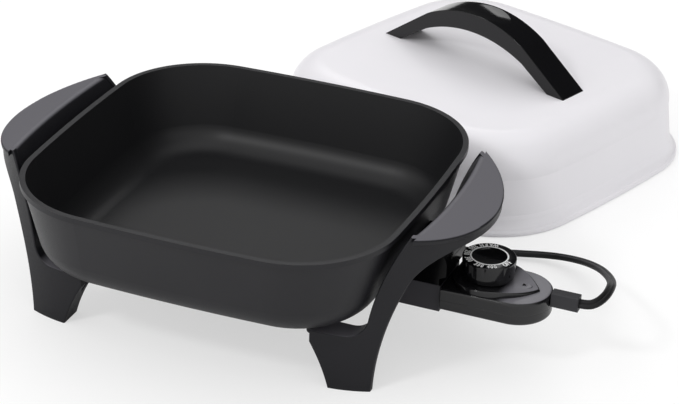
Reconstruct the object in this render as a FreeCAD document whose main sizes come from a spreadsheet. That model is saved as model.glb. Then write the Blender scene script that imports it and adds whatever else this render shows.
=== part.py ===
import FreeCAD, Part
import math
import os
import Sketcher

# Electric skillet: a square cast pan on two moulded handle and leg pieces, a lift-off cover that lies on the
# table behind it, and a plug-in heat control with a dial, a probe and a short cord.
# Sizes are in millimetres and angles in degrees. X points at the heat control, Y away from the user, Z up.
# Every piece is drawn about the middle of the pan on the table, and the cover about its own middle.

SIZES = {
    # Place of the pan's middle and of the cover in the common frame
    "skillet_x": -32.91,
    "skillet_y": -173.91,
    "cover_x": 72.0,
    "cover_y": 327.5,
    "cover_turn": 20.0,
    # Pan
    "rim_half": 145.0,
    "rim_corner": 76.0,
    "side_bow": 1500.0,
    "pan_base": 50.0,
    "pan_depth": 68.7,
    "pan_wall": 3.0,
    "pan_floor": 5.0,
    "wall_taper": 13.7,
    "base_round": 28.0,
    "inner_round": 22.0,
    "lip_height": 5.0,
    "lip_width": 2.4,
    "lip_edge": 1.0,
    "floor_lap": 12.0,
    # Heating element, its terminals and the probe tube
    "element_radius": 3.5,
    "element_half": 80.0,
    "element_corner": 38.0,
    "element_end": 112.0,
    "element_bend": 12.0,
    "terminal_height": 47.5,
    "terminal_spacing": 24.0,
    "pin_radius": 2.5,
    "pin_tip": 153.0,
    "bushing_radius": 3.6,
    "bushing_length": 7.0,
    "tube_radius": 4.5,
    "tube_bore": 3.4,
    "tube_start": 44.0,
    "tube_end": 122.0,
    "tube_cap": 2.0,
    # Terminal guard
    "guard_half": 20.8,
    "guard_wall": 2.5,
    "guard_front": 160.6,
    "guard_upper_front": 159.4,
    "guard_back": 92.0,
    "guard_tray": 108.0,
    "guard_top": 86.0,
    "guard_crown": 74.0,
    "brow_front": 164.5,
    "brow_low": 63.6,
    "brow_high": 66.0,
    "mouth_bottom": 39.5,
    "mouth_top": 56.0,
    "barrier_x": 116.0,
    "barrier_wall": 3.0,
    "ear_reach": 34.0,
    "ear_length": 14.0,
    "ear_thick": 3.5,
    # Handle and leg mouldings
    "grip_radius": 96.0,
    "grip_centre": 96.0,
    "handle_wall": 4.0,
    "flange_depth": 20.0,
    "flange_wall": 3.6,
    "leg_inner_foot": 105.0,
    "leg_outer_foot": 135.0,
    "leg_knee": 90.4,
    "leg_bend": 125.0,
    "knee_height": 34.0,
    "shelf_height": 44.0,
    "shelf_end": 116.0,
    "notch_round": 15.4,
    "arm_low_x": 131.0,
    "arm_low_z": 56.8,
    "arm_bend": 185.0,
    "leg_outer_bend": 226.0,
    "arm_outer_x": 154.5,
    "arm_outer_z": 84.5,
    "skirt_bend": 37.2,
    "skirt_bottom": 106.0,
    "tip_x": 156.0,
    "tip_y": 78.0,
    "tip_z": 122.5,
    "grip_tilt": 13.3,
    "grip_plate": 3.4,
    "grip_overhang": 0.7,
    "grip_inner": 162.0,
    "inner_skirt": 27.0,
    "inner_skirt_wall": 3.4,
    "arch_round": 24.0,
    "arch_rise": 4.0,
    "arch_reach": 12.0,
    "grip_round": 5.0,
    "plate_round": 1.4,
    "edge_round": 1.0,
    "boss_x": 91.0,
    "boss_y": 84.0,
    "boss_radius": 7.0,
    "boss_height": 12.0,
    # Screws
    "screw_radius": 2.4,
    "screw_head_radius": 4.4,
    "screw_head": 2.8,
    "screw_bite": 3.2,
    "thread_fit": 0.05,
    "thread_run": 1.5,
    "hole_fit": 0.3,
    # Cover
    "cover_half": 148.5,
    "cover_corner": 82.0,
    "cover_height": 77.5,
    "cover_wall": 1.8,
    "bead_radius": 2.6,
    "step_height": 13.0,
    "step_width": 4.6,
    "step_rise": 3.0,
    "step_round": 14.0,
    "cover_waist": 137.5,
    "cover_waist_z": 46.0,
    "shoulder_half": 109.0,
    "crown_lap": 12.0,
    # Cover handle
    "strap_half": 97.0,
    "strap_width": 28.0,
    "strap_height": 46.5,
    "strap_crown": 104.0,
    "strap_crown_half": 52.0,
    "strap_depth": 14.0,
    "strap_wall": 3.0,
    "strap_skin": 3.6,
    "strap_foot": 17.0,
    "strap_screw_x": 86.0,
    "dimple_half": 26.0,
    "dimple_depth": 1.3,
    "dimple_swing": 60.0,
    "washer_radius": 6.0,
    "washer_thick": 1.2,
    # Heat control housing
    "control_start": 162.5,
    "control_half": 26.5,
    "control_end_x": 211.5,
    "control_bottom": 41.5,
    "control_split": 50.0,
    "control_top": 59.5,
    "control_wall": 2.0,
    "nose_start": 134.0,
    "nose_half": 17.7,
    "nose_bottom": 40.1,
    "nose_top": 55.4,
    "nose_root": 167.0,
    "well_lap": 3.0,
    "pin_play": 0.8,
    "base_edge": 3.0,
    "top_edge": 2.2,
    "platform_height": 2.4,
    "platform_round": 1.8,
    "platform_radius": 24.6,
    "platform_end_x": 219.6,
    "platform_end_radius": 4.2,
    # Dial
    "dial_x": 189.5,
    "dial_radius": 19.15,
    "dial_height": 16.7,
    "dial_gap": 0.9,
    "dial_taper": 1.0,
    "dial_skin": 2.4,
    "dial_rim_width": 6.3,
    "dial_dish": 0.9,
    "dish_slope": 0.8,
    "hub_radius": 5.2,
    "flute_count": 24,
    "flute_radius": 1.5,
    "flute_depth": 0.5,
    "flute_start": 1.5,
    "flute_end": 4.0,
    "shaft_radius": 3.0,
    "shaft_fit": 0.06,
    "shaft_bottom": 51.6,
    "shaft_engage": 12.0,
    # Thermostat
    "probe_radius": 3.0,
    "probe_tip": 48.0,
    "probe_root": 168.0,
    "probe_wall": 0.9,
    "rod_radius": 1.6,
    "rod_root": 174.5,
    "sleeve_radius": 3.7,
    "sleeve_bore": 2.62,
    "sleeve_start": 135.5,
    "sleeve_end": 158.0,
    "block_half": 15.0,
    "block_length": 24.0,
    "frame_x": 170.5,
    "frame_length": 37.0,
    "frame_half": 9.0,
    "frame_top": 57.3,
    "frame_thick": 1.5,
    "collar_radius": 5.0,
    "collar_height": 5.0,
    "blade_length": 28.0,
    "blade_half": 3.6,
    "blade_thick": 0.4,
    "blade_upper_z": 50.9,
    "blade_lower_z": 48.3,
    "stack_x": 202.5,
    "stack_radius": 4.2,
    "rivet_radius": 1.5,
    "rivet_head": 2.8,
    "contact_radius": 1.9,
    "contact_height": 0.9,
    "lens_x": 219.0,
    "lens_length": 4.6,
    "lens_half": 2.4,
    "lens_stand": 0.4,
    "lamp_radius": 2.2,
    "lamp_length": 13.0,
    "control_screw_x": 172.0,
    "control_screw_y": 19.5,
    "control_screw_end_x": 229.0,
    "control_screw_radius": 1.5,
    "control_screw_head": 2.7,
    "control_screw_depth": 11.0,
    "control_boss": 3.6,
    # Cord and plug
    "relief_end": 258.5,
    "relief_height": 57.0,
    "relief_half": 4.3,
    "relief_tall": 11.6,
    "tongue_step": 1.8,
    "tongue_bottom": 52.0,
    "tongue_top": 57.0,
    "relief_round": 1.2,
    "cord_radius": 3.5,
    "plug_length": 34.0,
    "plug_half": 12.5,
    "plug_thick": 17.0,
    "plug_nose": 7.0,
    "plug_flare": 9.0,
    "plug_round": 3.0,
    "prong_spacing": 12.7,
    "prong_length": 17.0,
    "prong_width": 6.35,
    "prong_thick": 1.5,
    "prong_hole": 1.5,
    "prong_hole_set": 4.5,
    # Running clearances
    "seat_gap": 0.3,
}

DOC = FreeCAD.newDocument("electric_skillet")
SHEET = DOC.addObject("Spreadsheet::Sheet", "Sizes")
NODES = []


def fill_sheet():
    """Write each size to a cell of its own and give it its alias."""
    for row, (alias, number) in enumerate(SIZES.items(), start=1):
        SHEET.set(f"A{row}", alias)
        SHEET.set(f"B{row}", str(number))
        SHEET.setAlias(f"B{row}", alias)
    DOC.recompute()


def bind(formula):
    """The formula with every alias spelled as a reference to the sheet."""
    words = ""
    word = ""
    for letter in str(formula) + " ":
        if letter.isalnum() or letter == "_" or letter == ".":
            word += letter
            continue
        words += f"Sizes.{word}" if word in SIZES else word
        word = ""
        words += letter
    return words.strip()


def size(formula):
    """The value of a formula of sheet aliases."""
    return float(SHEET.evalExpression(bind(formula)))


def tie(thing, prop, formula):
    thing.setExpression(prop, bind(formula))


def register(thing, label):
    """Name a finished piece; its label is the name of its file."""
    thing.Label = label
    NODES.append(thing)
    return thing


def place(thing, x="0", y="0", z="0", turn=None, axis=(0, 0, 1)):
    """Put a piece in the common frame; turn is about axis."""
    if turn is not None:
        thing.Placement = FreeCAD.Placement(FreeCAD.Vector(), FreeCAD.Rotation(FreeCAD.Vector(*axis), size(turn)))
    for letter, formula in zip("xyz", (x, y, z)):
        tie(thing, f"Placement.Base.{letter}", formula)


def in_skillet(thing):
    place(thing, "skillet_x", "skillet_y")


def in_cover(thing):
    place(thing, "skillet_x + cover_x", "skillet_y + cover_y", turn="-cover_turn")
    tie(thing, "Placement.Rotation.Angle", "-cover_turn * 1 deg")


# Sketches and features

def new_body(label):
    body = DOC.addObject("PartDesign::Body", label)
    body.AllowCompound = True
    return register(body, label)


def sketch_on(body, plane, offset="0"):
    """Empty sketch on one of the body's origin planes, moved along its normal by offset."""
    sketch = body.newObject("Sketcher::SketchObject", f"{body.Name}_sketch")
    support = [face for face in body.Origin.OriginFeatures if face.Role == plane + "_Plane"][0]
    sketch.AttachmentSupport = (support, [""])
    sketch.MapMode = "FlatFace"
    tie(sketch, "AttachmentOffset.Base.z", offset)
    return sketch


def dimension(sketch, kind, *where, formula):
    """Driving dimension bound to the sheet."""
    index = sketch.addConstraint(Sketcher.Constraint(kind, *where, size(formula)))
    tie(sketch, f"Constraints[{index}]", formula)


def outline(sketch, corners, arcs=None):
    """Closed outline through corners, each a pair of formulas; arcs gives a radius to the edge after a corner,
    positive when the centre is on the left of the way round and negative when it is on the right."""
    arcs = arcs or {}
    points = [FreeCAD.Vector(size(x), size(y), 0) for x, y in corners]
    ends = []
    for index, start in enumerate(points):
        end = points[(index + 1) % len(points)]
        if index not in arcs:
            edge = sketch.addGeometry(Part.LineSegment(start, end), False)
            ends.append((edge, 1, 2))
            continue
        radius = size(arcs[index])
        chord = end - start
        rise = math.sqrt(max(radius ** 2 - chord.Length ** 2 / 4, 0))
        left = FreeCAD.Vector(-chord.y, chord.x, 0).normalize()
        centre = (start + end) * 0.5 + left * math.copysign(rise, radius)
        first, last = (start, end) if radius > 0 else (end, start)
        angles = [math.atan2(p.y - centre.y, p.x - centre.x) for p in (first, last)]
        circle = Part.Circle(centre, FreeCAD.Vector(0, 0, 1), abs(radius))
        edge = sketch.addGeometry(Part.ArcOfCircle(circle, angles[0], angles[1]), False)
        ends.append((edge, 1, 2) if radius > 0 else (edge, 2, 1))
        dimension(sketch, "Radius", edge, formula=arcs[index] if radius > 0 else f"-({arcs[index]})")
    for index, (edge, first, _) in enumerate(ends):
        before, _, last = ends[index - 1]
        sketch.addConstraint(Sketcher.Constraint("Coincident", before, last, edge, first))
        dimension(sketch, "DistanceX", edge, first, formula=corners[index][0])
        dimension(sketch, "DistanceY", edge, first, formula=corners[index][1])
    return sketch


def circle(sketch, x, y, radius):
    edge = sketch.addGeometry(Part.Circle(FreeCAD.Vector(size(x), size(y), 0), FreeCAD.Vector(0, 0, 1), size(radius)), False)
    dimension(sketch, "Radius", edge, formula=radius)
    dimension(sketch, "DistanceX", edge, 3, formula=x)
    dimension(sketch, "DistanceY", edge, 3, formula=y)
    return sketch


def box_outline(sketch, x0, x1, y0, y1):
    return outline(sketch, [(x0, y0), (x1, y0), (x1, y1), (x0, y1)])


def feature(body, kind, sketch, length=None, symmetric=False, reverse=False):
    made = body.newObject(f"PartDesign::{kind}", f"{body.Name}_{kind}")
    made.Profile = sketch
    if length is not None:
        tie(made, "Length", length)
    if symmetric:
        made.SideType = "Symmetric"
    made.Reversed = reverse
    sketch.Visibility = False
    return made


def pad(body, sketch, length, symmetric=False, reverse=False):
    return feature(body, "Pad", sketch, length, symmetric, reverse)


def cut(body, sketch, length, symmetric=False, reverse=False):
    """Pocket that must take material away."""
    DOC.recompute()
    before = body.Shape.Volume
    made = feature(body, "Pocket", sketch, length, symmetric, reverse)
    DOC.recompute()
    if body.Shape.Volume > before - 0.01:
        raise RuntimeError(f"{body.Label}: a pocket cuts nothing")
    return made


def turned(body, sketch, axis):
    """Full revolution of the sketch about one of its own axes."""
    made = feature(body, "Revolution", sketch)
    made.ReferenceAxis = (sketch, [axis])
    made.Angle = 360
    return made


def sweep(body, profile, spine, subtract=False):
    kind = "SubtractivePipe" if subtract else "AdditivePipe"
    made = body.newObject(f"PartDesign::{kind}", f"{body.Name}_pipe")
    made.Profile = profile
    made.Spine = (spine, [f"Edge{n + 1}" for n in range(len(spine.Shape.Edges))])
    made.Mode = "Standard"
    profile.Visibility = False
    spine.Visibility = False
    return made


def soften(body, radius, chosen, kind="Fillet"):
    """Round or bevel the edges of the body's tip that chosen picks by their middle point."""
    DOC.recompute()
    names = []
    for number, edge in enumerate(body.Tip.Shape.Edges, start=1):
        middle = edge.valueAt((edge.FirstParameter + edge.LastParameter) / 2)
        if chosen(edge, middle):
            names.append(f"Edge{number}")
    if not names:
        raise RuntimeError(f"{body.Label}: no edge to soften")
    base = body.Tip
    made = body.newObject(f"PartDesign::{kind}", f"{body.Name}_{kind}")
    made.Base = (base, names)
    tie(made, "Radius" if kind == "Fillet" else "Size", radius)
    DOC.recompute()
    return made


def rounded_square(sketch, half, corner, bow):
    """Square with bowed sides and round corners, every joint of arcs tangent; it starts on the X axis."""
    inner = f"(({bow}) - ({corner}))"
    side = f"(({half}) - ({bow}))"
    middle = f"(({side} + sqrt(2 * {inner}^2 - {side}^2)) / 2)"
    far = f"({side} + ({bow}) * ({middle} - {side}) / {inner})"
    near = f"(({bow}) * {middle} / {inner})"
    corners = [
        (half, "0"),
        (far, near),
        (near, far),
        (f"-{near}", far),
        (f"-{far}", near),
        (f"-{far}", f"-{near}"),
        (f"-{near}", f"-{far}"),
        (near, f"-{far}"),
        (far, f"-{near}"),
    ]
    arcs = {index: corner if index in (1, 3, 5, 7) else bow for index in range(len(corners))}
    return outline(sketch, corners, arcs)


# Round primitives for pins, screws and washers

def rod(x, y, z, radius, length, along="z"):
    """Cylinder that starts at x, y, z."""
    made = DOC.addObject("Part::Cylinder", "rod")
    tie(made, "Radius", radius)
    tie(made, "Height", length)
    if along == "x":
        made.Placement = FreeCAD.Placement(FreeCAD.Vector(), FreeCAD.Rotation(FreeCAD.Vector(0, 1, 0), 90))
    for letter, formula in zip("xyz", (x, y, z)):
        tie(made, f"Placement.Base.{letter}", formula)
    return made


def joined(label, pieces):
    made = DOC.addObject("Part::MultiFuse", label)
    made.Shapes = pieces
    made.Refine = True
    return register(made, label)


def ring(x, y, z, outer, bore, length, along="z"):
    made = DOC.addObject("Part::Cut", "ring")
    made.Base = rod(x, y, z, outer, length, along)
    made.Tool = rod(x, y, z, bore, length, along)
    return made


def signs():
    return ("", "-")


fill_sheet()


# Pan

def wall_x(z, inset):
    """Formula of the tapered wall's distance from the middle at height z, inset by a thickness."""
    top = "(pan_base + pan_depth - lip_height)"
    return f"(rim_half - lip_width - ({top} - ({z})) * tan(wall_taper) - ({inset}) / cos(wall_taper))"


def round_centre(z, radius, inset):
    return f"({wall_x(z, inset)} - ({radius}) / cos(wall_taper))"


def make_pan():
    body = new_body("pan")
    DOC.recompute()
    spine = rounded_square(sketch_on(body, "XY"), "rim_half", "rim_corner", "side_bow")
    top = "pan_base + pan_depth"
    outer_z = "(pan_base + base_round)"
    inner_z = "(pan_base + pan_floor + inner_round)"
    outer_c = round_centre(outer_z, "base_round", "0")
    inner_c = round_centre(inner_z, "inner_round", "pan_wall")
    profile = outline(sketch_on(body, "XZ"), [
        ("rim_half", top),
        (f"{wall_x(top, 'pan_wall')}", top),
        (f"{inner_c} + inner_round * cos(wall_taper)", f"{inner_z} - inner_round * sin(wall_taper)"),
        (inner_c, "pan_base + pan_floor"),
        (f"{outer_c} - floor_lap", "pan_base + pan_floor"),
        (f"{outer_c} - floor_lap", "pan_base"),
        (outer_c, "pan_base"),
        (f"{outer_c} + base_round * cos(wall_taper)", f"{outer_z} - base_round * sin(wall_taper)"),
        ("rim_half - lip_width", "pan_base + pan_depth - lip_height"),
        ("rim_half", "pan_base + pan_depth - lip_height + lip_edge"),
    ], {2: "-inner_round", 6: "base_round"})
    DOC.recompute()
    sweep(body, profile, spine)
    inset = f"(rim_half - {outer_c} + floor_lap - 1)"
    floor = rounded_square(sketch_on(body, "XY", "pan_base"), f"rim_half - {inset}", f"rim_corner - {inset}",
                           f"side_bow - {inset}")
    pad(body, floor, "pan_floor")
    DOC.recompute()
    sweep(body, element_section(body, "element_radius + thread_fit"), element_path(body), subtract=True)
    DOC.recompute()
    groove = circle(sketch_on(body, "YZ", "tube_start - seat_gap"), "0", "terminal_height", "tube_radius + thread_fit")
    cut(body, groove, "tube_end - tube_start", reverse=True)
    holes = sketch_on(body, "XY", "pan_base")
    for sx in signs():
        for sy in signs():
            circle(holes, f"{sx}boss_x", f"{sy}boss_y", "screw_radius + thread_fit")
    for sy in signs():
        circle(holes, "guard_back + ear_length / 2", f"{sy}(guard_half + ear_reach) / 2", "screw_radius + thread_fit")
    cut(body, holes, "screw_bite + seat_gap", reverse=True)
    in_skillet(body)
    return body


# Heating element: one sheathed rod bent to a square loop whose two ends leave side by side

def element_path(body):
    sketch = sketch_on(body, "XY", "terminal_height")
    gap = "terminal_spacing / 2"
    corner = "element_half - element_corner"
    points = [
        ("element_end", gap),
        ("element_half + element_bend", gap),
        ("element_half", f"{gap} + element_bend"),
        ("element_half", corner),
        (corner, "element_half"),
        (f"-({corner})", "element_half"),
        ("-element_half", corner),
        ("-element_half", f"-({corner})"),
        (f"-({corner})", "-element_half"),
        (corner, "-element_half"),
        ("element_half", f"-({corner})"),
        ("element_half", f"-({gap} + element_bend)"),
        ("element_half + element_bend", f"-{gap}"),
        ("element_end", f"-{gap}"),
    ]
    arcs = {1: "-element_bend", 3: "element_corner", 5: "element_corner", 7: "element_corner",
            9: "element_corner", 11: "-element_bend"}
    outline(sketch, points, arcs)
    sketch.delGeometry(len(points) - 1)
    DOC.recompute()
    return sketch


def element_section(body, radius):
    return circle(sketch_on(body, "YZ", "element_end"), "terminal_spacing / 2", "terminal_height", radius)


def make_element():
    body = new_body("heating_element")
    DOC.recompute()
    path = element_path(body)
    sweep(body, element_section(body, "element_radius"), path)
    in_skillet(body)


def make_terminals():
    pins = []
    bushings = []
    for sign in signs():
        y = f"{sign}terminal_spacing / 2"
        pins.append(rod("element_end", y, "terminal_height", "pin_radius", "pin_tip - element_end - pin_radius", "x"))
        tip = DOC.addObject("Part::Sphere", "pin_tip_ball")
        tie(tip, "Radius", "pin_radius")
        for letter, formula in zip("xyz", ("pin_tip - pin_radius", y, "terminal_height")):
            tie(tip, f"Placement.Base.{letter}", formula)
        pins.append(tip)
        bushings.append(ring("barrier_x + barrier_wall / 2 - bushing_length / 2", y, "terminal_height",
                             "bushing_radius", "pin_radius + thread_fit", "bushing_length", "x"))
    in_skillet(joined("terminal_pins", pins))
    in_skillet(joined("terminal_bushings", bushings))


def make_probe_tube():
    body = new_body("probe_tube")
    section = outline(sketch_on(body, "XZ"), [
        ("tube_start", "0"),
        ("tube_start", "tube_radius"),
        ("tube_end", "tube_radius"),
        ("tube_end", "tube_bore"),
        ("tube_start + tube_cap", "tube_bore"),
        ("tube_start + tube_cap", "0"),
    ])
    turned(body, section, "H_Axis")
    place(body, "skillet_x", "skillet_y", "terminal_height")


# Terminal guard: a tunnel under the pan's edge, open to the front, with ears screwed to the pan's underside

def make_guard():
    body = new_body("terminal_guard")
    DOC.recompute()
    gap = "seat_gap"
    outer_z = "(pan_base + base_round)"
    centre = round_centre(outer_z, "base_round", "0")
    reach = f"(base_round + {gap})"
    side = outline(sketch_on(body, "XZ"), [
        ("guard_back", "pan_base"),
        ("guard_back", "terminal_height - tube_radius"),
        ("guard_tray", "mouth_bottom - guard_wall"),
        ("guard_front", "mouth_bottom - guard_wall"),
        ("guard_front", "mouth_top + guard_wall"),
        ("guard_upper_front", "mouth_top + guard_wall"),
        ("guard_upper_front", "brow_low"),
        ("brow_front", "brow_high"),
        ("brow_front", "guard_crown"),
        ("brow_front - (guard_top - guard_crown)", "guard_top"),
        (f"{wall_x('guard_top', '-' + gap)}", "guard_top"),
        (f"{centre} + {reach} * cos(wall_taper)", f"{outer_z} - {reach} * sin(wall_taper)"),
        (centre, f"{outer_z} - {reach}"),
        (centre, "pan_base"),
    ], {8: "guard_top - guard_crown", 11: f"-{reach}"})
    pad(body, side, "2 * guard_half", symmetric=True)
    mouth = box_outline(sketch_on(body, "YZ", "guard_front"), "-(guard_half - guard_wall)", "guard_half - guard_wall",
                        "mouth_bottom", "mouth_top")
    cut(body, mouth, "guard_front - barrier_x - barrier_wall")
    back = box_outline(sketch_on(body, "YZ", "barrier_x"), "-(guard_half - guard_wall)", "guard_half - guard_wall",
                       "mouth_bottom", "pan_base + pan_depth")
    cut(body, back, "barrier_x")
    upper = box_outline(sketch_on(body, "YZ", "guard_upper_front - guard_wall"), "-(guard_half - guard_wall)",
                        "guard_half - guard_wall", "mouth_top + guard_wall", "guard_crown + guard_wall")
    cut(body, upper, "guard_upper_front - guard_wall - barrier_x - barrier_wall")
    holes = sketch_on(body, "YZ", "barrier_x + barrier_wall")
    circle(holes, "0", "terminal_height", "tube_radius + thread_fit")
    for sign in signs():
        circle(holes, f"{sign}terminal_spacing / 2", "terminal_height", "bushing_radius + thread_fit")
    cut(body, holes, "barrier_wall")
    ears = box_outline(sketch_on(body, "XY", "pan_base - ear_thick"), "guard_back", "guard_back + ear_length",
                       "-ear_reach", "ear_reach")
    pad(body, ears, "ear_thick")
    clear = box_outline(sketch_on(body, "XY", "pan_base - ear_thick"), "guard_back", "guard_back + ear_length",
                        "-(guard_half - guard_wall)", "guard_half - guard_wall")
    cut(body, clear, "ear_thick", reverse=True)
    bolts = sketch_on(body, "XY", "pan_base - ear_thick")
    for sign in signs():
        circle(bolts, "guard_back + ear_length / 2", f"{sign}(guard_half + ear_reach) / 2", "screw_radius + hole_fit")
    cut(body, bolts, "ear_thick", reverse=True)
    in_skillet(body)


def screw_up(x, y, seat, grip):
    """Pan-head screw from below: the head's top is at seat and the shank runs grip above it."""
    return [
        rod(x, y, f"{seat} - screw_head", "screw_head_radius", "screw_head"),
        rod(x, y, seat, "screw_radius", grip),
    ]


def make_guard_screws():
    pieces = []
    for sign in signs():
        pieces += screw_up("guard_back + ear_length / 2", f"{sign}(guard_half + ear_reach) / 2",
                           "(pan_base - ear_thick)", "ear_thick + screw_bite")
    in_skillet(joined("guard_screws", pieces))


# Handle and leg mouldings: an upright wall on a round plan, cut to the leg, arm and grip outline seen from the
# side, with a flange behind its inner edge and a sloping grip plate with two skirts

ARM_INNER = [
    ("leg_inner_foot", "0"),
    ("leg_knee", "knee_height"),
    ("leg_knee", "shelf_height"),
    ("shelf_end", "shelf_height"),
    ("arm_low_x", "arm_low_z"),
    ("tip_x", "tip_z + 2"),
]
ARM_INNER_ARCS = {0: "leg_bend", 3: "notch_round", 4: "-arm_bend"}

ARM_OUTER = [
    ("leg_outer_foot", "0"),
    ("arm_outer_x", "arm_outer_z"),
    ("grip_centre + grip_radius + 2", "skirt_bottom"),
]
ARM_OUTER_ARCS = {0: "-leg_outer_bend", 1: "-skirt_bend"}


def plan_y(x, radius):
    """Formula of the round plan's distance from the X axis at x."""
    return f"sqrt(({radius})^2 - (({x}) - grip_centre)^2)"


def half_round(sketch, x, radius):
    """Plan outline: the round of the grip from x on one side, by its tip, to x on the other, closed straight."""
    y = plan_y(x, radius)
    return outline(sketch, [(x, f"-{y}"), (f"grip_centre + ({radius})", "0"), (x, y)], {0: radius, 1: radius})


def flange_edge():
    """The inner edge of the leg and arm, moved outwards by the flange's wall, from its top to its foot."""
    return [
        ("tip_x + flange_wall", "tip_z + 2"),
        ("arm_low_x + flange_wall", "arm_low_z - flange_wall / 3"),
        ("shelf_end + flange_wall / 3", "shelf_height - flange_wall"),
        ("leg_knee + flange_wall", "shelf_height - flange_wall"),
        ("leg_knee + flange_wall", "knee_height"),
        ("leg_inner_foot + flange_wall", "0"),
    ]


FLANGE_ARCS = {0: "arm_bend - flange_wall", 1: "-(notch_round + flange_wall)", 4: "-(leg_bend + flange_wall)"}


def make_handle(label, turn):
    body = new_body(label)
    DOC.recompute()
    over = "tip_z + 3"
    add_inner_band(body)
    shell = sketch_on(body, "XY")
    near = plan_y("leg_knee - 1", "grip_radius")
    thin = "(grip_radius - handle_wall)"
    near_in = plan_y("leg_knee - 1", thin)
    outline(shell, [("leg_knee - 1", f"-{near}"), ("grip_centre + grip_radius", "0"), ("leg_knee - 1", near),
                    ("leg_knee - 1", near_in), (f"grip_centre + {thin}", "0"), ("leg_knee - 1", f"-{near_in}")],
            {0: "grip_radius", 1: "grip_radius", 3: f"-{thin}", 4: f"-{thin}"})
    pad(body, shell, over)
    inside = ARM_INNER + [("tip_x", over + " + 2"), ("leg_knee - 4", over + " + 2"), ("leg_knee - 4", "-1"),
                          ("leg_inner_foot", "-1")]
    cut(body, outline(sketch_on(body, "XZ"), inside, ARM_INNER_ARCS), "2 * grip_radius + 4", symmetric=True)
    outside = ARM_OUTER + [("grip_centre + grip_radius + 2", "-1"), ("leg_outer_foot", "-1")]
    cut(body, outline(sketch_on(body, "XZ"), outside, ARM_OUTER_ARCS), "2 * grip_radius + 4", symmetric=True)
    add_grip(body)
    round_handle(body)
    add_bosses(body)
    place(body, "skillet_x", "skillet_y", turn=str(turn))


def add_inner_band(body):
    """Flange behind the leg's and arm's inner edge and the wall under the grip, opened by an arch between the arms."""
    band_arcs = dict(ARM_INNER_ARCS)
    band_arcs.update({index + len(ARM_INNER): radius for index, radius in FLANGE_ARCS.items()})
    band = outline(sketch_on(body, "XZ"), ARM_INNER + flange_edge(), band_arcs)
    pad(body, band, "2 * grip_radius", symmetric=True)
    upper = "(tip_z - inner_skirt - arch_round - arch_rise)"
    crown = half_round(sketch_on(body, "XY", upper), "leg_knee - 3", "grip_radius - handle_wall")
    cut(body, crown, "tip_z", reverse=True)
    add_inner_wall(body, f"({upper} - arch_rise)")
    side = "(grip_radius - flange_depth)"
    top = "(tip_z - inner_skirt)"
    arch = outline(sketch_on(body, "YZ", "leg_knee - 8"), [
        (f"-{side}", "-1"),
        (side, "-1"),
        (side, f"{top} - arch_round"),
        (f"{side} - arch_round", top),
        (f"-({side} - arch_round)", top),
        (f"-{side}", f"{top} - arch_round"),
    ], {2: "arch_round", 4: "arch_round"})
    cut(body, arch, "2 * grip_radius", reverse=True)
    trim = sketch_on(body, "XY")
    outline(trim, [("leg_knee - 6", "-2 * grip_radius"), ("3 * grip_radius", "-2 * grip_radius"),
                   ("3 * grip_radius", "2 * grip_radius"), ("leg_knee - 6", "2 * grip_radius")])
    half_round(trim, "leg_knee - 3", "grip_radius")
    cut(body, trim, "tip_z + 3", reverse=True)


def arc_centre(start, end, radius):
    """Formulas of the centre, on the right of the way from start to end, of an arc through both."""
    across = f"(({end[0]}) - ({start[0]}))"
    up = f"(({end[1]}) - ({start[1]}))"
    rise = f"(sqrt(({radius})^2 / ({across}^2 + {up}^2) - 0.25))"
    x = f"((({start[0]}) + ({end[0]})) / 2 + {rise} * {up})"
    z = f"((({start[1]}) + ({end[1]})) / 2 - {rise} * {across})"
    return x, z


def add_inner_wall(body, low):
    """Inner wall of the grip: the arm's own bend, swung about an axis square to the sloping top."""
    deep = "((grip_inner - tip_x) / cos(grip_tilt))"
    bow = f"(({deep}^2 + tip_y^2) / (2 * {deep}))"
    centre_x, centre_z = arc_centre(ARM_INNER[-2], ARM_INNER[-1], "arm_bend")
    centre_x = f"({centre_x} + {deep} * cos(grip_tilt))"
    centre_z = f"({centre_z} - {deep} * sin(grip_tilt))"
    high = "(tip_z + 2)"
    thin = "(arm_bend - inner_skirt_wall)"

    def face_x(z, radius):
        return f"({centre_x} - sqrt({radius}^2 - ({z} - {centre_z})^2))"

    sketch = sketch_on(body, "XZ")
    axis = [(f"grip_inner - {bow} * cos(grip_tilt)", f"{high} + {bow} * sin(grip_tilt)")]
    axis.append((f"grip_inner - {bow} * cos(grip_tilt) + inner_skirt * sin(grip_tilt)",
                 f"{high} + {bow} * sin(grip_tilt) + inner_skirt * cos(grip_tilt)"))
    ends = [FreeCAD.Vector(size(x), size(z), 0) for x, z in axis]
    line = sketch.addGeometry(Part.LineSegment(*ends), True)
    for end, (x, z) in enumerate(axis, start=1):
        dimension(sketch, "DistanceX", line, end, formula=x)
        dimension(sketch, "DistanceY", line, end, formula=z)
    outline(sketch, [(face_x(low, "arm_bend"), low), (face_x(low, thin), low), (face_x(high, thin), high),
                     (face_x(high, "arm_bend"), high)], {1: f"-{thin}", 3: "arm_bend"})
    swung = feature(body, "Revolution", sketch)
    swung.ReferenceAxis = (sketch, ["Axis0"])
    swung.Midplane = True
    tie(swung, "Angle", f"2 * asin((tip_y + arch_reach) / {bow})")


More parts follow.
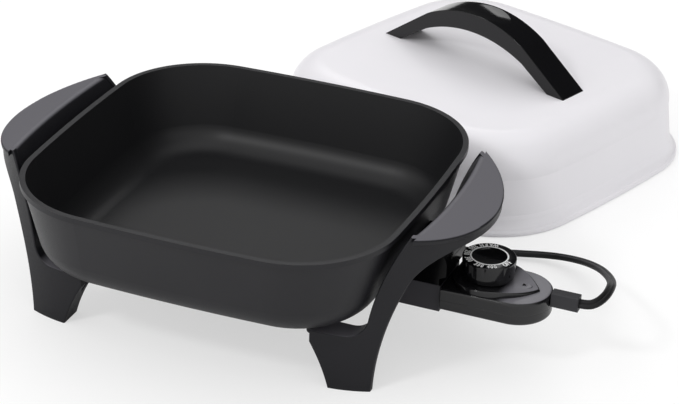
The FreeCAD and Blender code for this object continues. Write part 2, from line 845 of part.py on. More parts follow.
def add_grip(body):
    """Cut that makes every top edge follow the slope, and the sloping plate that stands out past the skirt."""
    above = outline(sketch_on(body, "XZ"), [
        ("leg_knee", "tip_z + (tip_x - leg_knee) * tan(grip_tilt)"),
        ("grip_centre + grip_radius + 4", "tip_z - (grip_centre + grip_radius + 4 - tip_x) * tan(grip_tilt)"),
        ("grip_centre + grip_radius + 4", "tip_z + 60"),
        ("leg_knee", "tip_z + 60")])
    cut(body, above, "2 * grip_radius + 4", symmetric=True)
    plate = sketch_on(body, "XY")
    slope = FreeCAD.Rotation(FreeCAD.Vector(0, 1, 0), size("grip_tilt"))
    plate.AttachmentOffset = FreeCAD.Placement(FreeCAD.Vector(), slope)
    tie(plate, "AttachmentOffset.Base.x", "tip_x")
    tie(plate, "AttachmentOffset.Base.z", "tip_z")
    tie(plate, "AttachmentOffset.Rotation.Angle", "grip_tilt * 1 deg")
    reach = "((grip_centre + grip_radius - tip_x) / cos(grip_tilt) + grip_overhang)"
    inset = "(inner_skirt_wall / 2)"
    out = f"({reach} - {inset})"
    radius = f"({out}^2 + tip_y^2) / (2 * {out})"
    deep = "((grip_inner - tip_x) / cos(grip_tilt))"
    bow = f"(({deep}^2 + tip_y^2) / (2 * {deep}))"
    outline(plate, [(inset, "-tip_y"), (reach, "0"), (inset, "tip_y"), (f"{deep} + {inset}", "0")],
            {0: radius, 1: radius, 2: f"-{bow}", 3: f"-{bow}"})
    pad(body, plate, "grip_plate", reverse=True)


def round_handle(body):
    """Roll over the top of the inner wall, soften the plate's rim and the long edges of the arms and legs."""
    tilt = math.tan(math.radians(size("grip_tilt")))

    def on_slope(middle):
        return abs(middle.z - size("tip_z") + (middle.x - size("tip_x")) * tilt) < 0.02

    def on_round(middle):
        return abs(math.hypot(middle.x - size("grip_centre"), middle.y) - size("grip_radius")) < 0.05

    soften(body, "grip_round", lambda edge, middle: on_slope(middle) and abs(middle.y) < 1
           and edge.Length > size("tip_y"))
    soften(body, "plate_round", lambda edge, middle: on_slope(middle) and abs(middle.y) > size("tip_y") / 4
           and edge.Length > size("tip_y") / 2)
    soften(body, "edge_round", lambda edge, middle: on_round(middle) and edge.Length > size("grip_radius") / 3
           and edge.Curve.TypeId == "Part::GeomBSplineCurve")


def add_bosses(body):
    """Screw bosses that stand on the shelf of each leg and carry the pan, with room for the screwdriver below."""
    bosses = sketch_on(body, "XY", "pan_base - boss_height")
    for sign in signs():
        circle(bosses, "boss_x", f"{sign}boss_y", "boss_radius")
    pad(body, bosses, "boss_height")
    holes = sketch_on(body, "XY", "pan_base - boss_height")
    for sign in signs():
        circle(holes, "boss_x", f"{sign}boss_y", "screw_radius + hole_fit")
    cut(body, holes, "boss_height", reverse=True)
    access = sketch_on(body, "XY", "pan_base - boss_height")
    for sign in signs():
        circle(access, "boss_x", f"{sign}boss_y", "screw_head_radius + 2 * hole_fit")
    cut(body, access, "pan_base - boss_height")


def make_handle_screws():
    pieces = []
    for sx in signs():
        for sy in signs():
            pieces += screw_up(f"{sx}boss_x", f"{sy}boss_y", "(pan_base - boss_height)", "boss_height + screw_bite")
    in_skillet(joined("handle_screws", pieces))


# Cover

def shoulder(less):
    """Radius of the cover's shoulder, which is level where it meets the flat top; less thins it for the inside."""
    across = f"(cover_waist - shoulder_half{less})"
    down = f"(cover_height - cover_waist_z{less})"
    return f"(({across}^2 + {down}^2) / (2 * {down}))"


def make_cover_shell():
    body = new_body("cover_shell")
    DOC.recompute()
    spine = rounded_square(sketch_on(body, "XY"), "cover_half", "cover_corner", "side_bow")
    wall = "cover_wall"
    step_x = "cover_half - bead_radius - step_width"
    outer = [
        ("cover_half - bead_radius", "2 * bead_radius"),
        (f"{step_x} + 1", "step_height"),
        (step_x, "step_height + step_rise"),
        ("cover_waist", "cover_waist_z"),
        ("shoulder_half", "cover_height"),
        ("shoulder_half - crown_lap", "cover_height"),
    ]
    inner = [
        ("shoulder_half - crown_lap", f"cover_height - {wall}"),
        ("shoulder_half", f"cover_height - {wall}"),
        (f"cover_waist - {wall}", "cover_waist_z"),
        (f"{step_x} - {wall}", "step_height + step_rise"),
        (f"{step_x} + 1 - {wall}", "step_height"),
        (f"cover_half - bead_radius - {wall}", "2 * bead_radius"),
        (f"cover_half - bead_radius - {wall}", "0"),
        ("cover_half - bead_radius", "0"),
        ("cover_half", "bead_radius"),
    ]
    profile = outline(sketch_on(body, "XZ"), outer + inner,
                      {0: "-step_round", 3: shoulder(""), 7: f"-{shoulder(' - ' + wall)}", 13: "bead_radius",
                       14: "bead_radius"})
    DOC.recompute()
    sweep(body, profile, spine)
    inset = "(cover_half - shoulder_half + crown_lap - 1)"
    crown = rounded_square(sketch_on(body, "XY", f"cover_height - {wall}"), f"cover_half - {inset}",
                           f"cover_corner - {inset}", f"side_bow - {inset}")
    pad(body, crown, wall)
    DOC.recompute()
    holes = sketch_on(body, "XY", "cover_height")
    for sign in signs():
        circle(holes, f"{sign}strap_screw_x", "0", "screw_radius + hole_fit")
    cut(body, holes, wall)
    in_cover(body)


def make_cover_handle():
    """Arched strap of channel section, open below, with a foot at each end and a thumb dimple on top."""
    body = new_body("cover_handle")
    DOC.recompute()
    rise = "(cover_height + strap_height)"
    crown = "strap_crown"
    drop = f"({crown} - sqrt({crown}^2 - strap_crown_half^2))"
    side = outline(sketch_on(body, "XZ"), [
        ("strap_half", "cover_height"),
        ("strap_crown_half", f"{rise} - {drop}"),
        ("-strap_crown_half", f"{rise} - {drop}"),
        ("-strap_half", "cover_height"),
        ("-(strap_half - strap_foot)", "cover_height"),
        ("-strap_crown_half", f"{rise} - {drop} - strap_depth"),
        ("strap_crown_half", f"{rise} - {drop} - strap_depth"),
        ("strap_half - strap_foot", "cover_height"),
    ], {1: crown, 5: f"-({crown} + strap_depth)"})
    pad(body, side, "strap_width", symmetric=True)
    slope = f"(({rise} - {drop} - cover_height) / (strap_half - strap_crown_half))"
    end_z = f"cover_height + strap_foot * {slope} - strap_skin * sqrt(1 + {slope}^2)"
    channel = outline(sketch_on(body, "XZ"), [
        ("strap_half - strap_foot", end_z),
        ("strap_crown_half", f"{rise} - {drop} - strap_skin"),
        ("-strap_crown_half", f"{rise} - {drop} - strap_skin"),
        ("-(strap_half - strap_foot)", end_z),
        ("-(strap_half - strap_foot) + 1", "cover_height - 1"),
        ("-strap_crown_half", f"{rise} - {drop} - strap_depth - 2"),
        ("strap_crown_half", f"{rise} - {drop} - strap_depth - 2"),
        ("strap_half - strap_foot - 1", "cover_height - 1"),
    ], {1: crown, 5: f"-({crown} + strap_depth)"})
    cut(body, channel, "strap_width - 2 * strap_wall", symmetric=True)
    add_dimple(body, rise)
    holes = sketch_on(body, "XY", "cover_height")
    for sign in signs():
        circle(holes, f"{sign}strap_screw_x", "0", "screw_radius + thread_fit")
    cut(body, holes, "screw_bite + thread_run", reverse=True)
    in_cover(body)


def add_dimple(body, rise):
    """Shallow oval hollow for the thumb on the crown of the strap, turned about a line above it."""
    edge = f"({rise} - strap_crown + sqrt(strap_crown^2 - dimple_half^2))"
    fall = f"({rise} - dimple_depth - {edge})"
    bend = f"((dimple_half^2 + {fall}^2) / (2 * {fall}))"
    sketch = sketch_on(body, "XZ")
    above = f"{rise} + dimple_swing"
    ends = [FreeCAD.Vector(size(x), size(above), 0) for x in ("-dimple_half", "dimple_half")]
    line = sketch.addGeometry(Part.LineSegment(*ends), True)
    for end, x in enumerate(("-dimple_half", "dimple_half"), start=1):
        dimension(sketch, "DistanceX", line, end, formula=x)
        dimension(sketch, "DistanceY", line, end, formula=above)
    outline(sketch, [("dimple_half", edge), ("dimple_half", f"{rise} + dimple_swing / 2"),
                     ("-dimple_half", f"{rise} + dimple_swing / 2"), ("-dimple_half", edge)], {3: f"-{bend}"})
    hollow = feature(body, "Groove", sketch)
    hollow.ReferenceAxis = (sketch, ["Axis0"])
    hollow.Angle = 360


def make_cover_screws():
    screws = []
    washers = []
    for sign in signs():
        x = f"{sign}strap_screw_x"
        under = "(cover_height - cover_wall - washer_thick)"
        screws += screw_up(x, "0", under, "washer_thick + cover_wall + screw_bite")
        washers.append(ring(x, "0", under, "washer_radius", "screw_radius + hole_fit", "washer_thick"))
    in_cover(joined("cover_screws", screws))
    in_cover(joined("cover_washers", washers))


# Heat control

def control_outline(sketch, inset):
    half = f"(control_half - ({inset}))"
    x0 = f"control_start + ({inset})"
    return outline(sketch, [(x0, f"-{half}"), ("control_end_x", f"-{half}"), (f"control_end_x + {half}", "0"),
                            ("control_end_x", half), (x0, half)], {1: half, 2: half})


def control_bolts(sketch, radius):
    for sign in signs():
        circle(sketch, "control_screw_x", f"{sign}control_screw_y", radius)
    circle(sketch, "control_screw_end_x", "0", radius)
    return sketch


def make_control_base():
    body = new_body("control_base")
    DOC.recompute()
    pad(body, control_outline(sketch_on(body, "XY", "control_bottom"), "0"), "control_split - control_bottom")
    soften(body, "base_edge", lambda edge, middle: abs(middle.z - size("control_bottom")) < 0.01
           and middle.x > size("control_start") + 1)
    nose = box_outline(sketch_on(body, "XY", "nose_bottom"), "nose_start", "nose_root", "-nose_half", "nose_half")
    pad(body, nose, "control_split - nose_bottom")
    cavity = control_outline(sketch_on(body, "XY", "control_split"), "control_wall")
    cut(body, cavity, "control_split - control_bottom - control_wall")
    well = box_outline(sketch_on(body, "XY", "control_split"), "nose_start + control_wall", "nose_root + well_lap",
                       "-(nose_half - control_wall)", "nose_half - control_wall")
    cut(body, well, "control_split - nose_bottom - control_wall")
    pad(body, control_bolts(sketch_on(body, "XY", "control_bottom + control_wall"), "control_boss"),
        "control_split - control_bottom - control_wall")
    cut(body, control_bolts(sketch_on(body, "XY", "control_bottom"), "control_screw_head + hole_fit"), "control_wall",
        reverse=True)
    cut(body, control_bolts(sketch_on(body, "XY", "control_bottom"), "control_screw_radius + hole_fit"),
        "control_split - control_bottom", reverse=True)
    front_holes(body)
    in_skillet(body)


def front_holes(body):
    """Openings in the nose's front wall for the two pins and the probe."""
    holes = sketch_on(body, "YZ", "nose_start")
    for sign in signs():
        circle(holes, f"{sign}terminal_spacing / 2", "terminal_height", "pin_radius + pin_play")
    circle(holes, "0", "terminal_height", "probe_radius + thread_fit")
    cut(body, holes, "control_wall + 1", reverse=True)


def relief_tongue(sketch, grow):
    """Section of the tongue that the strain relief puts through the upper shell's end wall."""
    half = f"(relief_half - tongue_step + {grow})"
    return box_outline(sketch, f"-{half}", half, f"tongue_bottom - {grow}", f"tongue_top + {grow}")


def relief_notch(body):
    cut(body, relief_tongue(sketch_on(body, "YZ", "control_end_x + control_half + 1"), "thread_fit"),
        "control_wall + 5")


def make_control_top():
    body = new_body("control_top")
    DOC.recompute()
    pad(body, control_outline(sketch_on(body, "XY", "control_split"), "0"), "control_top - control_split")
    soften(body, "top_edge", lambda edge, middle: abs(middle.z - size("control_top")) < 0.01)
    platform = outline(sketch_on(body, "XY", "control_top"), platform_points(), platform_arcs())
    pad(body, platform, "platform_height")
    soften(body, "platform_round", lambda edge, middle: abs(middle.z - size("control_top + platform_height")) < 0.01)
    nose = box_outline(sketch_on(body, "XY", "control_split"), "nose_start", "nose_root", "-nose_half", "nose_half")
    pad(body, nose, "nose_top - control_split")
    cavity = control_outline(sketch_on(body, "XY", "control_split"), "control_wall")
    cut(body, cavity, "control_top - control_split - control_wall", reverse=True)
    well = box_outline(sketch_on(body, "XY", "control_split"), "nose_start + control_wall", "nose_root + well_lap",
                       "-(nose_half - control_wall)", "nose_half - control_wall")
    cut(body, well, "nose_top - control_split - control_wall", reverse=True)
    pad(body, control_bolts(sketch_on(body, "XY", "control_split"), "control_boss"),
        "control_top - control_split - control_wall")
    cut(body, control_bolts(sketch_on(body, "XY", "control_split"), "control_screw_radius + thread_fit"),
        "control_screw_depth - control_split + control_bottom + control_wall", reverse=True)
    shaft = circle(sketch_on(body, "XY", "control_top - control_wall"), "dial_x", "0", "shaft_radius + hole_fit")
    cut(body, shaft, "control_wall + platform_height", reverse=True)
    window = outline(sketch_on(body, "XY", "control_top - control_wall"), lens_points("thread_fit"))
    cut(body, window, "control_wall + platform_height", reverse=True)
    front_holes(body)
    relief_notch(body)
    in_skillet(body)


def platform_points():
    """Teardrop round the dial: a large and a small circle joined by their outer tangents."""
    span = "(platform_end_x - dial_x)"
    slope = f"((platform_radius - platform_end_radius) / {span})"
    rise = f"sqrt(1 - {slope}^2)"
    big = (f"dial_x + platform_radius * {slope}", f"platform_radius * {rise}")
    small = (f"platform_end_x + platform_end_radius * {slope}", f"platform_end_radius * {rise}")
    return [
        (small[0], f"-{small[1]}"),
        ("platform_end_x + platform_end_radius", "0"),
        small,
        big,
        ("dial_x - platform_radius", "0"),
        (big[0], f"-{big[1]}"),
    ]


def platform_arcs():
    return {0: "platform_end_radius", 1: "platform_end_radius", 3: "platform_radius", 4: "platform_radius"}


def lens_points(grow):
    """Three-cornered pilot lens that points at the dial."""
    return [
        (f"lens_x - lens_length - ({grow})", "0"),
        (f"lens_x + ({grow})", f"-(lens_half + ({grow}))"),
        (f"lens_x + ({grow})", f"lens_half + ({grow})"),
    ]


def make_pilot():
    body = new_body("pilot_lens")
    pad(body, outline(sketch_on(body, "XY", "control_top - control_wall"), lens_points("0")),
        "control_wall + platform_height + lens_stand")
    in_skillet(body)
    register(rod("skillet_x + lens_x - lens_length / 2 - lamp_length / 2", "skillet_y",
                 "control_top - control_wall - lamp_radius", "lamp_radius", "lamp_length", "x"), "pilot_lamp")


def make_control_screws():
    pieces = []
    spots = [("control_screw_x", f"{sign}control_screw_y") for sign in signs()] + [("control_screw_end_x", "0")]
    for x, y in spots:
        pieces.append(rod(x, y, "control_bottom", "control_screw_head", "control_wall"))
        pieces.append(rod(x, y, "control_bottom + control_wall", "control_screw_radius", "control_screw_depth"))
    in_skillet(joined("control_screws", pieces))


def make_dial():
    """Hollow knob with a fluted side, a printed rim round a shallow dish, and a hub bored for the shaft."""
    body = new_body("dial")
    DOC.recompute()
    base = "(control_top + platform_height + dial_gap)"
    top = f"({base} + dial_height)"
    section = outline(sketch_on(body, "XZ"), [
        ("shaft_radius + shaft_fit", f"{base}"),
        ("hub_radius", f"{base}"),
        ("hub_radius", f"{top} - dial_skin"),
        ("dial_radius - dial_taper - dial_skin", f"{top} - dial_skin"),
        ("dial_radius - dial_skin", base),
        ("dial_radius", base),
        ("dial_radius - dial_taper", f"{top} - 1"),
        ("dial_radius - dial_taper - 1", top),
        ("dial_radius - dial_rim_width", top),
        ("dial_radius - dial_rim_width - dish_slope", f"{top} - dial_dish"),
        ("0", f"{top} - dial_dish"),
        ("0", f"{base} + shaft_engage"),
        ("shaft_radius + shaft_fit", f"{base} + shaft_engage"),
    ], {6: "1"})
    turned(body, section, "V_Axis")
    DOC.recompute()
    flute = circle(sketch_on(body, "XY", f"{base} + flute_start"), "dial_radius + flute_radius - flute_depth", "0",
                   "flute_radius")
    groove = cut(body, flute, "dial_height - flute_start - flute_end", reverse=True)
    around = body.newObject("PartDesign::PolarPattern", "flutes")
    around.Originals = [groove]
    around.Axis = (flute, ["N_Axis"])
    around.Angle = 360
    tie(around, "Occurrences", "flute_count")
    body.Tip = around
    place(body, "skillet_x + dial_x", "skillet_y")
    register(rod("skillet_x + dial_x", "skillet_y", "shaft_bottom", "shaft_radius",
                 f"{base} + shaft_engage - shaft_bottom"), "dial_shaft")


# Thermostat inside the heat control

def make_probe():
    body = new_body("probe_sheath")
    tip = "probe_tip"
    section = outline(sketch_on(body, "XZ"), [
        (tip, "0"),
        (f"{tip} + probe_radius", "probe_radius"),
        ("probe_root", "probe_radius"),
        ("probe_root", "probe_radius - probe_wall"),
        (f"{tip} + probe_radius", "probe_radius - probe_wall"),
        (f"{tip} + probe_radius", "0"),
    ], {0: "-probe_radius"})
    turned(body, section, "H_Axis")
    place(body, "skillet_x", "skillet_y", "terminal_height")
    register(rod("skillet_x + probe_tip + probe_radius", "skillet_y", "terminal_height", "rod_radius",
                 "rod_root - probe_tip - probe_radius", "x"), "probe_rod")


def make_sleeves():
    sleeves = []
    for sign in signs():
        sleeves.append(ring("sleeve_start + 1", f"{sign}terminal_spacing / 2", "terminal_height", "sleeve_radius",
                            "sleeve_bore", "sleeve_end - sleeve_start", "x"))
    in_skillet(joined("contact_sleeves", sleeves))
    body = new_body("terminal_block")
    DOC.recompute()
    start = "(nose_start + control_wall + seat_gap)"
    block = box_outline(sketch_on(body, "XY", "nose_bottom + control_wall"), start, f"{start} + block_length",
                        "-block_half", "block_half")
    pad(body, block, "nose_top - nose_bottom - 2 * control_wall")
    bores = sketch_on(body, "YZ", start)
    for sign in signs():
        circle(bores, f"{sign}terminal_spacing / 2", "terminal_height", "sleeve_radius + thread_fit")
    circle(bores, "0", "terminal_height", "probe_radius + thread_fit")
    cut(body, bores, "block_length", reverse=True)
    in_skillet(body)


def make_thermostat():
    body = new_body("thermostat_frame")
    DOC.recompute()
    plate = box_outline(sketch_on(body, "XY", "frame_top - frame_thick"), "frame_x", "frame_x + frame_length",
                        "-frame_half", "frame_half")
    pad(body, plate, "frame_thick")
    collar = circle(sketch_on(body, "XY", "frame_top - collar_height"), "dial_x", "0", "collar_radius")
    pad(body, collar, "collar_height")
    holes = sketch_on(body, "XY", "frame_top")
    circle(holes, "dial_x", "0", "shaft_radius + shaft_fit")
    cut(body, holes, "collar_height")
    rivet = circle(sketch_on(body, "XY", "frame_top"), "stack_x", "0", "rivet_radius + thread_fit")
    cut(body, rivet, "frame_thick")
    in_skillet(body)
    for label, height in (("blade_upper", "blade_upper_z"), ("blade_lower", "blade_lower_z")):
        make_blade(label, height)
    make_stack()


def make_blade(label, height):
    body = new_body(label)
    DOC.recompute()
    strip = box_outline(sketch_on(body, "XY", height), "stack_x - blade_length", "stack_x + blade_half", "-blade_half",
                        "blade_half")
    pad(body, strip, "blade_thick")
    hole = circle(sketch_on(body, "XY", height), "stack_x", "0", "rivet_radius + thread_fit")
    cut(body, hole, "blade_thick", reverse=True)
    in_skillet(body)


def make_stack():
    """Ceramic spacers, the rivet that holds the blades, and the two contact points."""
    bore = "rivet_radius + thread_fit"
    low = "(control_bottom + control_wall + screw_head / 2)"
    spacers = [
        ring("stack_x", "0", "blade_upper_z + blade_thick", "stack_radius", bore,
             "frame_top - frame_thick - blade_upper_z - blade_thick"),
        ring("stack_x", "0", "blade_lower_z + blade_thick", "stack_radius", bore,
             "blade_upper_z - blade_lower_z - blade_thick"),
        ring("stack_x", "0", low, "stack_radius", bore, f"blade_lower_z - {low}"),
    ]
    in_skillet(joined("stack_spacers", spacers))
    rivet = [
        rod("stack_x", "0", f"{low} - 1", "rivet_head", "1"),
        rod("stack_x", "0", low, "rivet_radius", f"frame_top - {low}"),
    ]
    in_skillet(joined("stack_rivet", rivet))
    x = "stack_x - blade_length + 4"
    points = [
        rod(x, "0", "blade_upper_z - contact_height", "contact_radius", "contact_height"),
        rod(x, "0", "blade_lower_z + blade_thick", "contact_radius", "contact_height"),
    ]
    in_skillet(joined("contact_points", points))


# Strain relief, cord and plug

def make_relief():
    body = new_body("strain_relief")
    DOC.recompute()
    low = "relief_height - relief_tall / 2"
    high = "relief_height + relief_tall / 2"
    face = "control_end_x + control_half + seat_gap"
    block = box_outline(sketch_on(body, "YZ", face), "-relief_half", "relief_half", low, high)
    pad(body, block, f"relief_end - ({face})")
    soften(body, "relief_round", lambda edge, middle: abs(abs(middle.y) - size("relief_half")) < 0.01
           and middle.x > size(face) + 1 and middle.x < size("relief_end") - 1)
    pad(body, relief_tongue(sketch_on(body, "YZ", face), "0"), "control_wall + 3", reverse=True)
    in_skillet(body)


CORD_ROUTE = [
    (258.5, 0.0, 57.0),
    (265.2, 0.0, 57.0),
    (270.4, 4.2, 58.4),
    (273.0, 12.0, 59.2),
    (273.4, 22.0, 58.4),
    (271.6, 37.0, 55.4),
    (266.6, 59.0, 46.0),
    (257.6, 86.0, 35.0),
    (243.0, 115.0, 24.0),
    (222.0, 139.0, 13.5),
    (196.0, 151.0, 6.0),
    (164.0, 144.0, 4.0),
    (126.0, 131.0, 4.0),
    (82.0, 125.0, 4.0),
    (36.0, 131.0, 4.0),
    (-8.0, 137.0, 4.0),
    (-48.0, 130.0, 4.2),
    (-76.0, 123.0, 6.4),
    (-96.0, 121.0, 8.8),
    (-112.0, 120.0, 8.8),
]


def cord_wire(points):
    """Straight runs joined by tangent arcs, each as large as its two runs allow; also gives the radii."""
    edges = []
    radii = []
    here = points[0]
    for before, corner, after in zip(points, points[1:], points[2:]):
        back = before - corner
        ahead = after - corner
        run = min(back.Length, ahead.Length)
        back.normalize()
        ahead.normalize()
        turn = math.pi - back.getAngle(ahead)
        trim = 0.45 * run
        radii.append(trim / math.tan(turn / 2))
        start = corner + back * trim
        end = corner + ahead * trim
        bisector = (back + ahead).normalize()
        depth = radii[-1] / math.cos(turn / 2) - radii[-1]
        edges.append(Part.LineSegment(here, start).toShape())
        edges.append(Part.Arc(start, corner + bisector * depth, end).toShape())
        here = end
    edges.append(Part.LineSegment(here, points[-1]).toShape())
    return Part.Wire(edges), radii


def make_cord():
    points = [FreeCAD.Vector(*point) for point in CORD_ROUTE]
    wire, radii = cord_wire(points)
    radius = size("cord_radius")
    ring_edge = Part.makeCircle(radius, points[0], points[1] - points[0])
    solid = wire.makePipeShell([Part.Wire([ring_edge])], True, False)
    section = math.pi * radius ** 2
    print("cord length", round(wire.Length, 1), "volume over section times length",
          round(solid.Volume / (section * wire.Length), 5))
    print("cord radii", [round(r, 1) for r in radii])
    cord = DOC.addObject("Part::Feature", "cord")
    cord.Shape = solid
    in_skillet(register(cord, "cord"))
    make_plug(points[-1], (points[-1] - points[-2]).normalize())


def make_plug(start, way):
    """Moulded two-blade plug at the end of the cord, its blades on the far side."""
    rotation = FreeCAD.Rotation(FreeCAD.Vector(1, 0, 0), way)
    seat = FreeCAD.Placement(start + FreeCAD.Vector(size("skillet_x"), size("skillet_y"), 0), rotation)
    body = new_body("plug_body")
    DOC.recompute()
    shape = outline(sketch_on(body, "XY", "-plug_thick / 2"), [
        ("0", "-cord_radius - 1.5"),
        ("plug_nose", "-cord_radius - 2"),
        ("plug_nose + plug_flare", "-plug_half"),
        ("plug_length", "-plug_half"),
        ("plug_length", "plug_half"),
        ("plug_nose + plug_flare", "plug_half"),
        ("plug_nose", "cord_radius + 2"),
        ("0", "cord_radius + 1.5"),
    ])
    pad(body, shape, "plug_thick")
    soften(body, "plug_round", lambda edge, middle: middle.x > 1 and middle.x < size("plug_length") - 0.01
           and abs(abs(middle.z) - size("plug_thick") / 2) < 0.01)
    DOC.recompute()
    body.Placement = seat
    blades = new_body("plug_blades")
    DOC.recompute()
    pair = sketch_on(blades, "YZ", "plug_length")
    for sign in signs():
        outline(pair, [
            (f"{sign}prong_spacing / 2 - prong_thick / 2", "-prong_width / 2"),
            (f"{sign}prong_spacing / 2 + prong_thick / 2", "-prong_width / 2"),
            (f"{sign}prong_spacing / 2 + prong_thick / 2", "prong_width / 2"),
            (f"{sign}prong_spacing / 2 - prong_thick / 2", "prong_width / 2"),
        ])
    pad(blades, pair, "prong_length")
    holes = circle(sketch_on(blades, "XZ"), "plug_length + prong_length - prong_hole_set", "0", "prong_hole")
    cut(blades, holes, "2 * plug_half", symmetric=True)
    DOC.recompute()
    blades.Placement = seat


def check_and_write():
    """Stop on any failed feature or piece, then write one file for each piece."""
    for thing in DOC.Objects:
        if "Invalid" in thing.State or "Error" in thing.State:
            raise RuntimeError(f"{thing.Label} ({thing.Name}) failed: {thing.State}")
    os.makedirs("parts", exist_ok=True)
    for node in NODES:
        shape = node.Shape
        if shape.isNull() or not shape.isValid() or not shape.Solids:
            raise RuntimeError(f"{node.Label} has no valid solid")
        shape.exportStep(f"parts/{node.Label}.step")
        print(node.Label, len(shape.Solids), "solids", round(shape.Volume, 1), "mm3")


def main():
    make_pan()
    make_element()
    make_terminals()
    make_probe_tube()
    make_guard()
    make_guard_screws()
    make_handle("handle_right", 0)
    make_handle("handle_left", 180)
    make_handle_screws()
    make_cover_shell()
    make_cover_handle()
    make_cover_screws()
    make_control_base()
    make_control_top()
    make_pilot()
    make_control_screws()
    make_dial()
    make_probe()
    make_sleeves()
    make_thermostat()
    make_relief()
    make_cord()
    DOC.recompute()
    check_and_write()


main()
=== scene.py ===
import logging
import math
from dataclasses import dataclass, field
from enum import Enum

import bmesh
import bpy
from mathutils import Matrix, Vector


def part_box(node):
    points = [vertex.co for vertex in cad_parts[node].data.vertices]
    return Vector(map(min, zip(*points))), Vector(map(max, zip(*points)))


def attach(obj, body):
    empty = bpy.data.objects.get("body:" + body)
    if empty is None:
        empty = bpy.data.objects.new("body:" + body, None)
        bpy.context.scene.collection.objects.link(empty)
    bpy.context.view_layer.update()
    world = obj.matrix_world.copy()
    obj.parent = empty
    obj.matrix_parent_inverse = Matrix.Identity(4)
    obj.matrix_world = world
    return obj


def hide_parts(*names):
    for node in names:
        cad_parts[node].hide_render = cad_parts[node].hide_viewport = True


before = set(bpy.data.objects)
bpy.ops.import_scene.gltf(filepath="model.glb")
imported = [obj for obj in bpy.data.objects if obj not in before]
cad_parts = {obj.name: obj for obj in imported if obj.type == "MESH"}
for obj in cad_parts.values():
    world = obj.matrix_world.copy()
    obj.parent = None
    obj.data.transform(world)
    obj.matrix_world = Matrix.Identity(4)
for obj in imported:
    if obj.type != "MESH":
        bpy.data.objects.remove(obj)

LOG = logging.getLogger("electric_skillet")
MM = 0.001  # one millimetre in metres
SHARP_ANGLE = 35.0  # degrees from which an edge is shaded as sharp
FINE_OCTAVES, BROAD_OCTAVES = 3.0, 2.0
BROAD_SCALE = 22.0  # repeats per metre of a finish's drift in colour
NOISE_LOW, NOISE_HIGH = 0.3, 0.7  # between these most of a noise lies
SMOOTHEST = 0.02  # least roughness of a finish
BUMP_DEPTH = 0.3  # millimetres of relief at full strength
BEVEL_SAMPLES = 6
BRUSH_DRAWN = 0.03  # factor on the axis along which a brushed pattern is drawn out


def middle(node: str) -> Vector:
    """Middle of a piece's box at rest, in metres.

    Args:
        node: Name of the piece.

    Returns:
        The point halfway between its lowest and highest corners.
    """
    low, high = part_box(node)
    return (low + high) / 2


def axis_foot(node: str) -> Vector:
    """Point on the table under a piece's middle.

    Args:
        node: Name of the piece.

    Returns:
        The foot of its upright axis, in metres.
    """
    centre = middle(node)
    return Vector((centre.x, centre.y, 0))


def at_pan(x: float, y: float, z: float) -> Vector:
    """Point given from the middle of the pan on the table.

    Args:
        x: Millimetres towards the heat control.
        y: Millimetres away from the user.
        z: Millimetres above the table.

    Returns:
        The same point in metres, in the common frame.
    """
    centre = middle("pan")
    return Vector((centre.x + x * MM, centre.y + y * MM, z * MM))


def circle(shape: bmesh.types.BMesh, centre: Vector, radius: float, height: float,
           steps: int) -> list:
    """Ring of vertices around an upright axis.

    Args:
        shape: The mesh under construction.
        centre: Point on the axis from which the height counts, in metres.
        radius: Radius in millimetres.
        height: Height in millimetres.
        steps: Number of vertices.

    Returns:
        The vertices in order.
    """
    made = []
    for number in range(steps):
        turn = 2 * math.pi * number / steps
        place = Vector((math.cos(turn) * radius, math.sin(turn) * radius, height))
        made.append(shape.verts.new(centre + place * MM))
    return made


def rounding(radius: float, steps: int) -> list[tuple[float, float]]:
    """Points on the quarter circle of a rounded upper edge.

    Args:
        radius: Radius in millimetres.
        steps: Number of points.

    Returns:
        How far each point lies inside the side and below the top, in millimetres.
    """
    turns = [math.pi / 2 * number / steps for number in range(1, steps + 1)]
    return [(radius * (1 - math.cos(turn)), radius * (1 - math.sin(turn))) for turn in turns]


def skin(shape: bmesh.types.BMesh, rows: list[list], closed: bool = False) -> None:
    """Join neighbouring rings of vertices with faces.

    Args:
        shape: The mesh under construction.
        rows: Rings with the same number of vertices.
        closed: Whether the last ring joins the first one again. If not, both ends get a face.
    """
    pairs = list(zip(rows, rows[1:]))
    if closed:
        pairs.append((rows[-1], rows[0]))
    for first, second in pairs:
        for number in range(len(first)):
            after = (number + 1) % len(first)
            shape.faces.new((first[number], first[after], second[after], second[number]))
    if not closed:
        shape.faces.new(rows[0])
        shape.faces.new(rows[-1])


def as_piece(name: str, shape: bmesh.types.BMesh, look: bpy.types.Material, body: str) -> bpy.types.Object:
    """Turn a finished mesh into a piece that moves with a body.

    Args:
        name: Name of the piece.
        shape: Its mesh, which is freed.
        look: Its material.
        body: The body that it rides on.

    Returns:
        The new object.
    """
    bmesh.ops.recalc_face_normals(shape, faces=shape.faces)
    mesh = bpy.data.meshes.new(name)
    shape.to_mesh(mesh)
    shape.free()
    mesh.shade_smooth()
    mesh.set_sharp_from_angle(angle=math.radians(SHARP_ANGLE))
    mesh.materials.append(look)
    piece = bpy.data.objects.new(name, mesh)
    bpy.context.scene.collection.objects.link(piece)
    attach(piece, body)
    return piece


def ramp(nodes: bpy.types.Nodes, start: float = 0.0, end: float = 1.0,
         smooth: bool = False) -> bpy.types.Node:
    """Node whose result goes from 0 to 1 between two values.

    Args:
        nodes: Nodes of the material or world.
        start: Value at which it is 0.
        end: Value at which it is 1.
        smooth: Whether it eases in and out.

    Returns:
        The new node.
    """
    made = nodes.new("ShaderNodeMapRange")
    made.interpolation_type = "SMOOTHSTEP" if smooth else "LINEAR"
    made.inputs["From Min"].default_value = start
    made.inputs["From Max"].default_value = end
    return made


